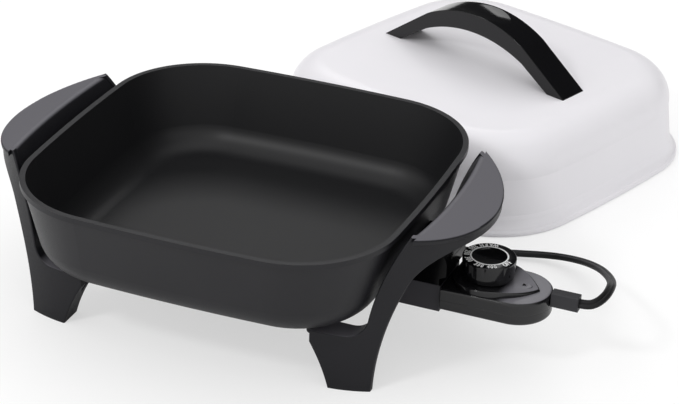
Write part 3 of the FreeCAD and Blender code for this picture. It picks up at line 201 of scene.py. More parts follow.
def calculation(nodes: bpy.types.Nodes, kind: str, operation: str) -> bpy.types.Node:
    """Node that works something out.

    Args:
        nodes: Nodes of the material or world.
        kind: Type of the node.
        operation: What it works out.

    Returns:
        The new node.
    """
    made = nodes.new(kind)
    made.operation = operation
    return made


class Texture(Enum):
    """Small relief that a finish shows from close by."""

    FINE_GRAIN = "fine grain"
    SPECKLE = "speckle"
    BRUSHED = "brushed"
    MOULDED = "moulded"
    ENAMEL = "enamel"


@dataclass(frozen=True)
class Finish:
    """Procedural finish of a hard surface.

    The colour drifts a little towards a second one, the roughness wanders about its value, and the
    relief follows the texture's own pattern. Edge is the radius in millimetres of the soft corners
    that catch the light.
    """

    name: str
    colour: tuple[float, float, float]
    drift: tuple[float, float, float]
    roughness: float
    texture: Texture = Texture.MOULDED
    spread: float = 0.06
    relief: float = 0.04
    metallic: float = 0.0
    specular: float = 0.5
    edge: float = 0.0

    def scale(self) -> float:
        """Repeats of the texture's pattern per metre."""
        return {
            Texture.FINE_GRAIN: 1500.0,
            Texture.SPECKLE: 2600.0,
            Texture.BRUSHED: 900.0,
            Texture.MOULDED: 700.0,
            Texture.ENAMEL: 45.0,
        }[self.texture]

    def stretch(self) -> tuple[float, float, float]:
        """Factors on the three axes that draw the pattern out."""
        drawn = BRUSH_DRAWN if self.texture is Texture.BRUSHED else 1.0
        return (drawn, 1.0, 1.0)

    def build(self) -> bpy.types.Material:
        """Make the material.

        Returns:
            A new material with its node tree.
        """
        made = bpy.data.materials.new(self.name)
        made.use_nodes = True
        nodes, links = made.node_tree.nodes, made.node_tree.links
        shader = nodes["Principled BSDF"]
        shader.inputs["Metallic"].default_value = self.metallic
        shader.inputs["Specular IOR Level"].default_value = self.specular
        place = nodes.new("ShaderNodeTexCoord")
        mapping = nodes.new("ShaderNodeMapping")
        mapping.inputs["Scale"].default_value = self.stretch()
        links.new(place.outputs["Object"], mapping.inputs["Vector"])
        fine = self.noise(nodes, links, mapping, self.scale(), FINE_OCTAVES)
        broad = self.noise(nodes, links, mapping, BROAD_SCALE, BROAD_OCTAVES)
        tint = nodes.new("ShaderNodeMix")
        tint.data_type = "RGBA"
        tint.inputs["A"].default_value = (*self.colour, 1.0)
        tint.inputs["B"].default_value = (*self.drift, 1.0)
        links.new(broad.outputs["Fac"], tint.inputs["Factor"])
        links.new(tint.outputs["Result"], shader.inputs["Base Color"])
        rough = ramp(nodes, NOISE_LOW, NOISE_HIGH)
        rough.inputs["To Min"].default_value = max(self.roughness - self.spread, SMOOTHEST)
        rough.inputs["To Max"].default_value = self.roughness + self.spread
        links.new(fine.outputs["Fac"], rough.inputs["Value"])
        links.new(rough.outputs["Result"], shader.inputs["Roughness"])
        bump = nodes.new("ShaderNodeBump")
        bump.inputs["Strength"].default_value = self.relief
        bump.inputs["Distance"].default_value = BUMP_DEPTH * MM
        links.new(fine.outputs["Fac"], bump.inputs["Height"])
        if self.edge:
            soft = nodes.new("ShaderNodeBevel")
            soft.samples = BEVEL_SAMPLES
            soft.inputs["Radius"].default_value = self.edge * MM
            links.new(soft.outputs["Normal"], bump.inputs["Normal"])
        links.new(bump.outputs["Normal"], shader.inputs["Normal"])
        return made

    @staticmethod
    def noise(nodes: bpy.types.Nodes, links: bpy.types.NodeLinks, mapping: bpy.types.Node,
              scale: float, detail: float) -> bpy.types.Node:
        """Noise texture on the object's own coordinates.

        Args:
            nodes: Nodes of the material.
            links: Links of the material.
            mapping: Node that gives the coordinates.
            scale: Repeats per metre.
            detail: Octaves of the noise.

        Returns:
            The noise node.
        """
        made = nodes.new("ShaderNodeTexNoise")
        made.inputs["Scale"].default_value = scale
        made.inputs["Detail"].default_value = detail
        links.new(mapping.outputs["Vector"], made.inputs["Vector"])
        return made


@dataclass
class Finishes:
    """Every finish of the object, made once and handed out by name."""

    made: dict[str, bpy.types.Material] = field(default_factory=dict)

    def get(self, finish: Finish) -> bpy.types.Material:
        """Material of a finish, built on its first use.

        Args:
            finish: The finish.

        Returns:
            Its material.
        """
        if finish.name not in self.made:
            self.made[finish.name] = finish.build()
        return self.made[finish.name]

    def dress(self, finish: Finish, *names: str) -> None:
        """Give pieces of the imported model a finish.

        Args:
            finish: The finish.
            names: Names of the pieces.
        """
        for name in names:
            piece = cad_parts[name]
            piece.data.materials.clear()
            piece.data.materials.append(self.get(finish))
            LOG.info("%s is finished in %s", name, finish.name)


@dataclass(frozen=True)
class TwoToneFinish(Finish):
    """Finish with a second colour and roughness where its mask is 1."""

    second: tuple[float, float, float] = (0.006, 0.006, 0.006)
    second_roughness: float = 0.34

    def build(self) -> bpy.types.Material:
        """Make the first finish and blend the second one into it.

        Returns:
            A new material with its node tree.
        """
        made = super().build()
        nodes, links = made.node_tree.nodes, made.node_tree.links
        shader = nodes["Principled BSDF"]
        mask = self.mask(nodes, links)
        for name, kind in (("Base Color", "RGBA"), ("Roughness", "FLOAT")):
            socket = shader.inputs[name]
            before = socket.links[0].from_socket
            mix = nodes.new("ShaderNodeMix")
            mix.data_type = kind
            factor, first, second = [end for end in mix.inputs if end.enabled]
            second.default_value = (*self.second, 1.0) if kind == "RGBA" else self.second_roughness
            links.new(mask, factor)
            links.new(before, first)
            links.new([end for end in mix.outputs if end.enabled][0], socket)
        return made

    def mask(self, nodes: bpy.types.Nodes, links: bpy.types.NodeLinks) -> bpy.types.NodeSocket:
        """Socket that is 1 where the second finish shows.

        Args:
            nodes: Nodes of the material.
            links: Links of the material.
        """
        raise NotImplementedError

    @staticmethod
    def below(nodes: bpy.types.Nodes, links: bpy.types.NodeLinks, place: bpy.types.Node,
              height: float, fade: float) -> bpy.types.NodeSocket:
        """Socket that is 1 below a height.

        Args:
            nodes: Nodes of the material.
            links: Links of the material.
            place: Texture coordinate node.
            height: Height in metres.
            fade: Depth in metres over which it rises to 1.

        Returns:
            The socket.
        """
        parts = nodes.new("ShaderNodeSeparateXYZ")
        low = ramp(nodes, height, height - fade)
        links.new(place.outputs["Object"], parts.inputs["Vector"])
        links.new(parts.outputs["Z"], low.inputs["Value"])
        return low.outputs["Result"]


@dataclass(frozen=True)
class PanFinish(TwoToneFinish):
    """Two coats of the pan: charcoal outside and on the rim, darker and smoother inside."""

    wall_start: float = -0.08
    wall_end: float = -0.25
    floor_fade: float = 5.0

    def mask(self, nodes: bpy.types.Nodes, links: bpy.types.NodeLinks) -> bpy.types.NodeSocket:
        """Socket that is 1 on the inner walls and on the pan's floor."""
        place = nodes.new("ShaderNodeTexCoord")
        wall = self.facing_pan(nodes, links, place)
        low = self.below(nodes, links, place, middle("pan").z, self.floor_fade * MM)
        normal = nodes.new("ShaderNodeSeparateXYZ")
        floor = calculation(nodes, "ShaderNodeMath", "MULTIPLY")
        floor.use_clamp = True
        either = calculation(nodes, "ShaderNodeMath", "MAXIMUM")
        links.new(place.outputs["Normal"], normal.inputs["Vector"])
        links.new(normal.outputs["Z"], floor.inputs[0])
        links.new(low, floor.inputs[1])
        links.new(wall, either.inputs[0])
        links.new(floor.outputs["Value"], either.inputs[1])
        return either.outputs["Value"]

    def facing_pan(self, nodes: bpy.types.Nodes, links: bpy.types.NodeLinks,
                   place: bpy.types.Node) -> bpy.types.NodeSocket:
        """Socket that is 1 where a wall looks at the pan's middle.

        Args:
            nodes: Nodes of the material.
            links: Links of the material.
            place: Texture coordinate node.

        Returns:
            The socket.
        """
        outward = calculation(nodes, "ShaderNodeVectorMath", "SUBTRACT")
        outward.inputs[1].default_value = middle("pan")
        level = calculation(nodes, "ShaderNodeVectorMath", "MULTIPLY")
        level.inputs[1].default_value = (1, 1, 0)
        unit = calculation(nodes, "ShaderNodeVectorMath", "NORMALIZE")
        facing = calculation(nodes, "ShaderNodeVectorMath", "DOT_PRODUCT")
        wall = ramp(nodes, self.wall_start, self.wall_end)
        links.new(place.outputs["Object"], outward.inputs[0])
        links.new(outward.outputs["Vector"], level.inputs[0])
        links.new(level.outputs["Vector"], unit.inputs[0])
        links.new(unit.outputs["Vector"], facing.inputs[0])
        links.new(place.outputs["Normal"], facing.inputs[1])
        links.new(facing.outputs["Value"], wall.inputs["Value"])
        return wall.outputs["Result"]


@dataclass(frozen=True)
class PaintedSheenFinish(TwoToneFinish):
    """Moulding with a painted sheen: its colour turns paler on the faces that look up, standing in for the
    light from above that the satin catches.
    """

    level_start: float = 0.6
    level_end: float = 0.95

    def mask(self, nodes: bpy.types.Nodes, links: bpy.types.NodeLinks) -> bpy.types.NodeSocket:
        """Socket that is 1 on the faces that look up, where the sheen is painted."""
        place = nodes.new("ShaderNodeTexCoord")
        normal = nodes.new("ShaderNodeSeparateXYZ")
        upward = ramp(nodes, self.level_start, self.level_end)
        links.new(place.outputs["Normal"], normal.inputs["Vector"])
        links.new(normal.outputs["Z"], upward.inputs["Value"])
        return upward.outputs["Result"]


@dataclass(frozen=True)
class PaintedReflectionFinish(PaintedSheenFinish):
    """Glossy housing with a painted reflection: its top turns paler on the cord's side of the knob,
    standing in for the bright sky that it mirrors there.
    """

    fade_start: float = 13.0
    fade_end: float = 23.0

    def mask(self, nodes: bpy.types.Nodes, links: bpy.types.NodeLinks) -> bpy.types.NodeSocket:
        """Socket that is 1 on the top beyond the knob, where the reflection is painted."""
        axis = middle("dial").x
        upward = super().mask(nodes, links)
        place = nodes.new("ShaderNodeTexCoord")
        parts = nodes.new("ShaderNodeSeparateXYZ")
        painted_reflection_side = ramp(nodes, axis + self.fade_start * MM, axis + self.fade_end * MM, smooth=True)
        both = calculation(nodes, "ShaderNodeMath", "MULTIPLY")
        links.new(place.outputs["Object"], parts.inputs["Vector"])
        links.new(parts.outputs["X"], painted_reflection_side.inputs["Value"])
        links.new(upward, both.inputs[0])
        links.new(painted_reflection_side.outputs["Result"], both.inputs[1])
        return both.outputs["Value"]


@dataclass(frozen=True)
class GuardFinish(TwoToneFinish):
    """Glossy hood over a satin box. The box's satin is its own; its paler grey is a painted reflection of
    the bright floor.
    """

    hood_height: float = 58.5
    hood_fade: float = 1.0

    def mask(self, nodes: bpy.types.Nodes, links: bpy.types.NodeLinks) -> bpy.types.NodeSocket:
        """Socket that is 1 on the box under the hood, where the floor's reflection is painted."""
        place = nodes.new("ShaderNodeTexCoord")
        return self.below(nodes, links, place, self.hood_height * MM, self.hood_fade * MM)


PAN_COAT = PanFinish(
    "pan_coat_look", (0.0095, 0.0093, 0.0112), (0.0125, 0.0122, 0.0147), 0.42,
    Texture.FINE_GRAIN, relief=0.12, specular=0.33,
    second=(0.008, 0.008, 0.009), second_roughness=0.45,
)
# Painted sheen: the second colour makes the handles' tops paler, standing in for the light from above on
# their satin.
SATIN_BLACK_PAINTED_SHEEN = PaintedSheenFinish(
    "satin_black_painted_sheen", (0.0065, 0.0063, 0.0084), (0.009, 0.0087, 0.0113), 0.44,
    specular=0.29, edge=0.5,
    second=(0.118, 0.115, 0.129), second_roughness=0.5, level_start=0.72,
)
# Painted reflection: the second colour greys the housing's top beyond the knob, standing in for the bright
# sky mirrored there.
CONTROL_BLACK_PAINTED_REFLECTION = PaintedReflectionFinish(
    "control_gloss_black_painted_reflection", (0.005, 0.005, 0.0058), (0.008, 0.008, 0.009), 0.15,
    spread=0.03, relief=0.01, specular=0.5, edge=0.7,
    second=(0.165, 0.161, 0.179), second_roughness=0.26, level_start=0.9, level_end=0.985,
)
# Painted reflection: the second colour greys the box under the hood, standing in for the bright floor that
# it mirrors; its satin roughness is real.
GUARD_BLACK_PAINTED_REFLECTION = GuardFinish(
    "guard_gloss_black_painted_reflection", (0.0015, 0.0015, 0.0018), (0.0025, 0.0025, 0.003), 0.14,
    spread=0.03, relief=0.01, specular=0.14, edge=0.5,
    second=(0.05, 0.0488, 0.054), second_roughness=0.4,
)
STRAP_BLACK = Finish(
    "strap_gloss_black", (0.003, 0.003, 0.0036), (0.005, 0.005, 0.006), 0.1,
    spread=0.02, relief=0.01, specular=0.4, edge=1.2,
)
DIAL_BLACK = Finish(
    "dial_gloss_black", (0.003, 0.003, 0.0034), (0.005, 0.005, 0.006), 0.12,
    spread=0.03, relief=0.01, specular=0.45,
)
ENAMEL_WHITE = Finish(
    "enamel_white", (0.83, 0.815, 0.85), (0.85, 0.835, 0.865), 0.34,
    Texture.ENAMEL, spread=0.03, relief=0.02,
)
CORD_JACKET = Finish(
    "cord_jacket", (0.008, 0.008, 0.009), (0.012, 0.012, 0.013), 0.45,
    Texture.FINE_GRAIN, relief=0.1, specular=0.2,
)
RELIEF_BLACK = Finish(
    "relief_black", (0.026, 0.0255, 0.029), (0.031, 0.0305, 0.034), 0.5,
    Texture.FINE_GRAIN, relief=0.05, specular=0.3, edge=0.6,
)
PRINT_WHITE = Finish("print_white", (0.9, 0.9, 0.9), (0.93, 0.93, 0.93), 0.5, relief=0.0)
ZINC_STEEL = Finish(
    "zinc_steel", (0.5, 0.5, 0.52), (0.58, 0.57, 0.56), 0.32, Texture.BRUSHED, metallic=1.0,
)
HEATED_STEEL = Finish(
    "heated_steel", (0.28, 0.25, 0.22), (0.34, 0.32, 0.31), 0.42, Texture.SPECKLE, metallic=1.0,
)
NICKEL = Finish(
    "nickel", (0.68, 0.67, 0.64), (0.72, 0.7, 0.68), 0.18, Texture.BRUSHED, metallic=1.0,
)
PLAIN_ALUMINIUM = Finish(
    "plain_aluminium", (0.6, 0.6, 0.61), (0.68, 0.68, 0.68), 0.4, Texture.BRUSHED, metallic=1.0,
)
BRONZE = Finish(
    "phosphor_bronze", (0.6, 0.38, 0.2), (0.66, 0.44, 0.24), 0.3, Texture.BRUSHED, metallic=1.0,
)
SILVER = Finish(
    "silver_contact", (0.85, 0.84, 0.8), (0.9, 0.89, 0.86), 0.2, Texture.SPECKLE, metallic=1.0,
)
CERAMIC = Finish(
    "unglazed_ceramic", (0.72, 0.69, 0.62), (0.78, 0.76, 0.7), 0.75, Texture.SPECKLE, relief=0.15,
)
INSULATOR = Finish(
    "brown_insulator", (0.1, 0.055, 0.03), (0.13, 0.08, 0.045), 0.5, Texture.SPECKLE,
)
LENS_DARK = Finish(
    "dark_lens", (0.002, 0.001, 0.001), (0.003, 0.001, 0.001), 0.5, relief=0.01, specular=0.1,
)
LAMP_GLASS = Finish("lamp_glass", (0.5, 0.4, 0.33), (0.55, 0.44, 0.36), 0.1, relief=0.01)


@dataclass(frozen=True)
class Lamp:
    """Soft rectangular lamp that looks at a point, given in metres and watts."""

    name: str
    place: tuple[float, float, float]
    target: tuple[float, float, float]
    width: float
    height: float
    power: float

    def build(self) -> None:
        """Make the lamp."""
        data = bpy.data.lights.new(self.name, "AREA")
        data.shape = "RECTANGLE"
        data.size, data.size_y, data.energy = self.width, self.height, self.power
        lamp = bpy.data.objects.new(self.name, data)
        bpy.context.scene.collection.objects.link(lamp)
        lamp.location = self.place
        towards = Vector(self.target) - Vector(self.place)
        lamp.rotation_euler = towards.to_track_quat("-Z", "Y").to_euler()


@dataclass
class Studio:
    """Pale table, soft lights and the camera of the photograph.

    Angles are in degrees, places in metres, the lens and the sensor in millimetres. A mirrored sky
    turns dark behind the object, from front_start to front_end, and below the band.
    """

    camera_place: tuple[float, float, float] = (0.56879, -1.54791, 0.8636)
    azimuth: float = 21.06
    elevation: float = 27.52
    roll: float = 2.14
    lens: float = 120.55
    sensor: float = 36.0
    view_end: float = 50.0
    floor_half: float = 6.0
    floor_white: float = 0.84
    floor_shown: float = 0.45
    floor_glow: float = 0.55
    floor_mirrored: float = 0.05
    sky_fill: float = 0.86
    sky_seen: float = 1.0
    sky_low: float = 0.04
    band_start: float = 48.0
    band_end: float = 68.0
    front_start: float = -0.25
    front_end: float = 0.1
    lamps: tuple[Lamp, ...] = (
        Lamp("lamp_back", (-0.9, 1.7, 1.65), (0.0, 0.0, 0.08), 1.2, 0.8, 7.0),
        Lamp("lamp_top", (-0.2, 0.0, 2.0), (0.0, 0.0, 0.05), 1.2, 1.2, 2.0),
        Lamp("lamp_front", (-0.6, -1.5, 1.5), (0.0, 0.0, 0.08), 0.34, 0.26, 9.0),
    )

    def build(self) -> None:
        """Make the floor, the world, the lamps and the camera."""
        scene = bpy.context.scene
        scene.view_settings.view_transform = "Standard"
        self.make_floor()
        self.make_world()
        for lamp in self.lamps:
            lamp.build()
        self.make_camera()
        LOG.info("studio made")

    def make_floor(self) -> None:
        """Wide pale floor."""
        half = self.floor_half
        corners = [(-half, -half, 0), (half, -half, 0), (half, half, 0), (-half, half, 0)]
        mesh = bpy.data.meshes.new("floor")
        mesh.from_pydata(corners, [], [(0, 1, 2, 3)])
        floor = bpy.data.objects.new("floor", mesh)
        bpy.context.scene.collection.objects.link(floor)
        mesh.materials.append(self.floor_look())

    def floor_look(self) -> bpy.types.Material:
        """Make a look that is white to the camera, keeps shadows and glows less in reflections.

        Returns:
            The floor's material.
        """
        look = bpy.data.materials.new("floor_look")
        look.use_nodes = True
        nodes, links = look.node_tree.nodes, look.node_tree.links
        nodes.clear()
        path = nodes.new("ShaderNodeLightPath")
        colour = nodes.new("ShaderNodeMix")
        colour.data_type = "RGBA"
        colour.inputs["A"].default_value = (self.floor_white, self.floor_white, self.floor_white, 1)
        colour.inputs["B"].default_value = (self.floor_shown, self.floor_shown, self.floor_shown, 1)
        paint = nodes.new("ShaderNodeBsdfDiffuse")
        glow = nodes.new("ShaderNodeEmission")
        both = nodes.new("ShaderNodeAddShader")
        output = nodes.new("ShaderNodeOutputMaterial")
        mirrored = calculation(nodes, "ShaderNodeMath", "MAXIMUM")
        weak = calculation(nodes, "ShaderNodeMath", "MULTIPLY")
        weak.inputs[1].default_value = self.floor_mirrored
        strength = calculation(nodes, "ShaderNodeMath", "MULTIPLY_ADD")
        strength.inputs[1].default_value = self.floor_glow
        links.new(path.outputs["Is Camera Ray"], colour.inputs["Factor"])
        links.new(colour.outputs["Result"], paint.inputs["Color"])
        links.new(path.outputs["Is Glossy Ray"], mirrored.inputs[0])
        links.new(path.outputs["Is Transmission Ray"], mirrored.inputs[1])
        links.new(mirrored.outputs["Value"], weak.inputs[0])
        links.new(path.outputs["Is Camera Ray"], strength.inputs[0])
        links.new(weak.outputs["Value"], strength.inputs[2])
        links.new(strength.outputs["Value"], glow.inputs["Strength"])
        links.new(paint.outputs["BSDF"], both.inputs[0])
        links.new(glow.outputs["Emission"], both.inputs[1])
        links.new(both.outputs["Shader"], output.inputs["Surface"])
        return look

    def make_world(self) -> None:
        """White surroundings with an even fill and, in reflections, a dark wall behind."""
        world = bpy.data.worlds.new("studio")
        bpy.context.scene.world = world
        world.use_nodes = True
        nodes, links = world.node_tree.nodes, world.node_tree.links
        sky = nodes["Background"]
        sky.inputs["Color"].default_value = (1, 1, 1, 1)
        path = nodes.new("ShaderNodeLightPath")
        way = nodes.new("ShaderNodeTexCoord")
        parts = nodes.new("ShaderNodeSeparateXYZ")
        low, high = (math.sin(math.radians(angle)) for angle in (self.band_start, self.band_end))
        band = ramp(nodes, low, high, smooth=True)
        band.inputs["To Min"].default_value = self.sky_low
        band.inputs["To Max"].default_value = self.sky_seen
        front = ramp(nodes, self.front_start, self.front_end, smooth=True)
        front.inputs["To Min"].default_value = self.sky_seen
        mirrored = ramp(nodes)
        mirrored.inputs["To Min"].default_value = self.sky_fill
        seen = ramp(nodes)
        seen.inputs["To Max"].default_value = self.sky_seen
        links.new(way.outputs["Generated"], parts.inputs["Vector"])
        links.new(parts.outputs["Z"], band.inputs["Value"])
        links.new(parts.outputs["Y"], front.inputs["Value"])
        links.new(band.outputs["Result"], front.inputs["To Max"])
        links.new(front.outputs["Result"], mirrored.inputs["To Max"])
        links.new(path.outputs["Is Glossy Ray"], mirrored.inputs["Value"])
        links.new(mirrored.outputs["Result"], seen.inputs["To Min"])
        links.new(path.outputs["Is Camera Ray"], seen.inputs["Value"])
        links.new(seen.outputs["Result"], sky.inputs["Strength"])

    def make_camera(self) -> None:
        """Camera at the photograph's place, angle and focal length."""
        data = bpy.data.cameras.new("camera")
        data.sensor_fit = "HORIZONTAL"
        data.sensor_width = self.sensor
        data.lens = self.lens
        data.clip_end = self.view_end
        camera = bpy.data.objects.new("camera", data)
        bpy.context.scene.collection.objects.link(camera)
        turn, rise, roll = (math.radians(a) for a in (self.azimuth, self.elevation, self.roll))
        flat = math.cos(rise)
        ahead = Vector((-math.sin(turn) * flat, math.cos(turn) * flat, -math.sin(rise)))
        right = ahead.cross(Vector((0, 0, 1))).normalized()
        up = right.cross(ahead)
        level_right = math.cos(roll) * right + math.sin(roll) * up
        level_up = -math.sin(roll) * right + math.cos(roll) * up
        turned = Matrix((level_right, level_up, -ahead)).transposed().to_4x4()
        camera.matrix_world = Matrix.Translation(Vector(self.camera_place)) @ turned
        bpy.context.scene.camera = camera


@dataclass
class DialPrint:
    """White ring and temperature marks printed on the dial's rim."""

    marks: tuple[tuple[str, float], ...] = (
        ("OFF", -21.0), ("400", -66.0), ("350", -99.0), ("300", -137.0),
        ("250", -172.0), ("200", 155.0), ("WARM", 111.0),
    )
    letter: float = 5.3
    narrow: float = 0.74
    bold: float = 0.2
    letter_radius: float = 16.7
    short_word: int = 3
    number_step: float = 8.6
    word_step: float = 12.4
    ring_outer: float = 14.1
    ring_width: float = 1.2
    ring_steps: int = 96
    thickness: float = 0.06

    def build(self, finishes: Finishes) -> None:
        """Make the print and let it turn with the dial.

        Args:
            finishes: Where the print's white comes from.
        """
        centre = middle("dial")
        centre.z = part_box("dial")[1].z
        look = finishes.get(PRINT_WHITE)
        for text, angle in self.marks:
            self.word(text, angle, centre, look)
        self.ring(centre, look)
        LOG.info("dial print made: %d marks and a ring", len(self.marks))

    def word(self, text: str, angle: float, centre: Vector, look: bpy.types.Material) -> None:
        """Letters of one mark, each turned so that its foot lies towards the dial's edge.

        Args:
            text: The mark.
            angle: Its place around the dial, in degrees from the cord's side.
            centre: Middle of the dial's top, in metres.
            look: Material of the print.
        """
        step = self.word_step if len(text) > self.short_word else self.number_step
        for number, letter in enumerate(text):
            turn = math.radians(angle + (number - (len(text) - 1) / 2) * step)
            curve = bpy.data.curves.new(f"print_{text}_{number}", "FONT")
            curve.body = letter
            curve.size = self.letter * MM
            curve.align_x, curve.align_y = "CENTER", "CENTER"
            curve.offset = self.bold * MM
            curve.extrude = self.thickness / 2 * MM
            flat = bpy.data.objects.new(f"print_flat_{text}_{number}", curve)
            mesh = bpy.data.meshes.new_from_object(flat)
            bpy.data.objects.remove(flat)
            mesh.materials.clear()
            mesh.materials.append(look)
            away = Vector((math.cos(turn), math.sin(turn), 0)) * self.letter_radius * MM
            rise = Vector((0, 0, self.thickness / 2 * MM))
            upright = Matrix.Rotation(turn + math.pi / 2, 4, "Z")
            narrow = Matrix.Diagonal((self.narrow, 1, 1, 1))
            mesh.transform(Matrix.Translation(centre + away + rise) @ upright @ narrow)
            piece = bpy.data.objects.new(f"print_{text}_{number}", mesh)
            bpy.context.scene.collection.objects.link(piece)
            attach(piece, "dial")

    def ring(self, centre: Vector, look: bpy.types.Material) -> None:
        """Printed ring at the inner edge of the rim.

        Args:
            centre: Middle of the dial's top, in metres.
            look: Material of the print.
        """
        shape = bmesh.new()
        inner, outer = self.ring_outer - self.ring_width, self.ring_outer
        corners = ((inner, 0.0), (inner, self.thickness), (outer, self.thickness), (outer, 0.0))
        rows = [circle(shape, centre, radius, height, self.ring_steps)
                for radius, height in corners]
        skin(shape, rows, closed=True)
        as_piece("print_ring", shape, look, "dial")


@dataclass
class Knob:
    """Thermostat knob: a side that widens upwards with finger notches, a flat rim and a dish."""

    foot_radius: float = 18.8
    foot_lift: float = 1.8
    foot_bevel: float = 0.3
    wall: float = 2.0
    rim_radius: float = 19.7
    rim_round: float = 1.0
    dish_edge: float = 12.85
    dish_radius: float = 11.9
    dish_depth: float = 1.3
    lip_width: float = 0.15
    lip_depth: float = 0.12
    slope_width: float = 0.3
    slope_height: float = 0.2
    notches: int = 8
    notch_depth: float = 0.9
    notch_reach: float = 0.6
    notch_half: float = 4.5
    first_notch: float = -83.0
    steps: int = 240
    side_steps: int = 14
    round_steps: int = 4

    def build(self, finishes: Finishes) -> None:
        """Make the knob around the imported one's axis.

        Args:
            finishes: Where the knob's black comes from.
        """
        low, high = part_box("dial")
        foot, top = low.z / MM + self.foot_lift, high.z / MM
        ceiling = foot + (top - foot) / 2
        tall = top - self.rim_round - foot
        dish = top - self.dish_depth
        axis = axis_foot("dial")
        shape = bmesh.new()
        rows = [self.ring(shape, axis, self.foot_radius - self.wall, ceiling),
                self.ring(shape, axis, self.foot_radius - self.wall, foot),
                self.ring(shape, axis, self.foot_radius - self.foot_bevel, foot)]
        for number in range(self.side_steps + 1):
            share = number / self.side_steps
            radius = self.foot_radius + (self.rim_radius - self.foot_radius) * share
            height = foot + self.foot_bevel + (tall - self.foot_bevel) * share
            rows.append(self.ring(shape, axis, radius, height, share))
        for inward, under in rounding(self.rim_round, self.round_steps):
            rows.append(self.ring(shape, axis, self.rim_radius - inward, top - under))
        rows += [self.ring(shape, axis, self.dish_edge, top),
                 self.ring(shape, axis, self.dish_edge - self.lip_width, top - self.lip_depth),
                 self.ring(shape, axis, self.dish_radius + self.slope_width,
                           dish + self.slope_height),
                 self.ring(shape, axis, self.dish_radius, dish)]
        skin(shape, rows)
        piece = as_piece("knob", shape, finishes.get(DIAL_BLACK), "dial")
        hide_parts("dial")
        LOG.info("knob made with %d notches", self.notches)

    def ring(self, shape: bmesh.types.BMesh, axis: Vector, radius: float, height: float,
             share: float = 0.0) -> list:
        """Ring of vertices, notched where it lies high on the side.

        Args:
            shape: The mesh under construction.
            axis: Foot of the knob's axis.
            radius: Radius in millimetres.
            height: Height in millimetres.
            share: Place on the side, from 0 at the foot to 1 under the rim.

        Returns:
            The vertices in order.
        """
        made = []
        apart = 360.0 / self.notches
        fall = max(0.0, 1 - (1 - share) / self.notch_reach) if share else 0.0
        for number in range(self.steps):
            turn = 360.0 * number / self.steps
            off = abs((turn - self.first_notch + apart / 2) % apart - apart / 2)
            cut = self.notch_depth * fall * max(0.0, 1 - off / self.notch_half)
            around = math.radians(turn)
            flat = Vector((math.cos(around), math.sin(around), 0)) * (radius - cut)
            made.append(shape.verts.new(axis + (flat + Vector((0, 0, height))) * MM))
        return made


@dataclass
class DialPlateau:
    """Raised seat under the knob, round towards the pan and drawn out to a point towards the cord."""

    radius: float = 25.4
    reach: float = 39.3
    power: float = 2.2
    blunt: float = 0.88
    drop: float = 2.6
    drop_start: float = 14.0
    pan_side: float = -24.3
    tip_inset: float = 1.2
    least_half: float = 0.05
    top: float = 63.95
    foot: float = 59.3
    edge_round: float = 1.3
    round_steps: int = 5
    steps: int = 60
    mark_radius: float = 1.5
    mark_stand: float = 0.12
    mark_taper: float = 0.8

    def half_width(self, x: float) -> float:
        """Half of its width at a place along the housing.

        Args:
            x: Millimetres from the knob's axis towards the cord.

        Returns:
            Half of the width in millimetres.
        """
        if x < 0:
            return math.sqrt(max(self.radius ** 2 - x ** 2, 0.0))
        return self.radius * (1 - min(x / self.reach, 1.0) ** self.power) ** self.blunt

    def lowered(self, x: float) -> float:
        """How much lower its top lies towards the cord.

        Args:
            x: Millimetres from the knob's axis towards the cord.

        Returns:
            The drop in millimetres.
        """
        share = min(max((x - self.drop_start) / (self.reach - self.drop_start), 0.0), 1.0)
        return self.drop * share * share * (3 - 2 * share)

    def outline(self, inset: float) -> list[tuple[float, float]]:
        """Outline in millimetres from the knob's axis.

        Args:
            inset: How far it lies inside the full outline.

        Returns:
            Points anticlockwise, from the pan's side.
        """
        start, end = self.pan_side + inset, self.reach - inset * self.tip_inset
        near = []
        for number in range(self.steps + 1):
            x = start + (end - start) * (1 - math.cos(math.pi * number / self.steps)) / 2
            wide = self.half_width(x + inset * max(x, 0.0) / self.reach)
            near.append((x, -max(wide - inset, self.least_half)))
        return near + [(x, -y) for x, y in reversed(near)]

    def level(self, shape: bmesh.types.BMesh, axis: Vector, inset: float, height: float) -> list:
        """Ring of vertices along the outline. Only the foot stays level.

        Args:
            shape: The mesh under construction.
            axis: Foot of the knob's axis.
            inset: How far it lies inside the full outline, in millimetres.
            height: Height in millimetres.

        Returns:
            The vertices in order.
        """
        made = []
        for x, y in self.outline(inset):
            drop = self.lowered(x) if height > self.foot else 0.0
            made.append(shape.verts.new(axis + Vector((x, y, height - drop)) * MM))
        return made

    def build(self, finishes: Finishes) -> None:
        """Make the seat and the small mark beside the knob.

        Args:
            finishes: Where the housing's black comes from.
        """
        axis = axis_foot("dial")
        shape = bmesh.new()
        levels = [(0.0, self.foot), (0.0, self.top - self.edge_round)]
        levels += [(inward, self.top - under)
                   for inward, under in rounding(self.edge_round, self.round_steps)]
        skin(shape, [self.level(shape, axis, inset, height) for inset, height in levels])
        # The seat shares the housing's painted reflection.
        as_piece("dial_plateau", shape, finishes.get(CONTROL_BLACK_PAINTED_REFLECTION), "heat_control")
        self.mark(finishes)
        LOG.info("seat under the knob made")

    def mark(self, finishes: Finishes) -> None:
        """Three-cornered lens that stands a little out of the seat.

        Args:
            finishes: Where the lens's look comes from.
        """
        centre = axis_foot("pilot_lens")
        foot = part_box("pilot_lens")[0].z / MM
        top = self.top - self.lowered((centre.x - middle("dial").x) / MM)
        levels = ((1.0, foot), (1.0, top + self.mark_stand / 2),
                  (self.mark_taper, top + self.mark_stand))
        shape = bmesh.new()
        skin(shape, [circle(shape, centre, self.mark_radius * size, height, 3)
                     for size, height in levels])
        piece = as_piece("pilot_mark", shape, finishes.get(LENS_DARK), "heat_control")
        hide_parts("pilot_lens")


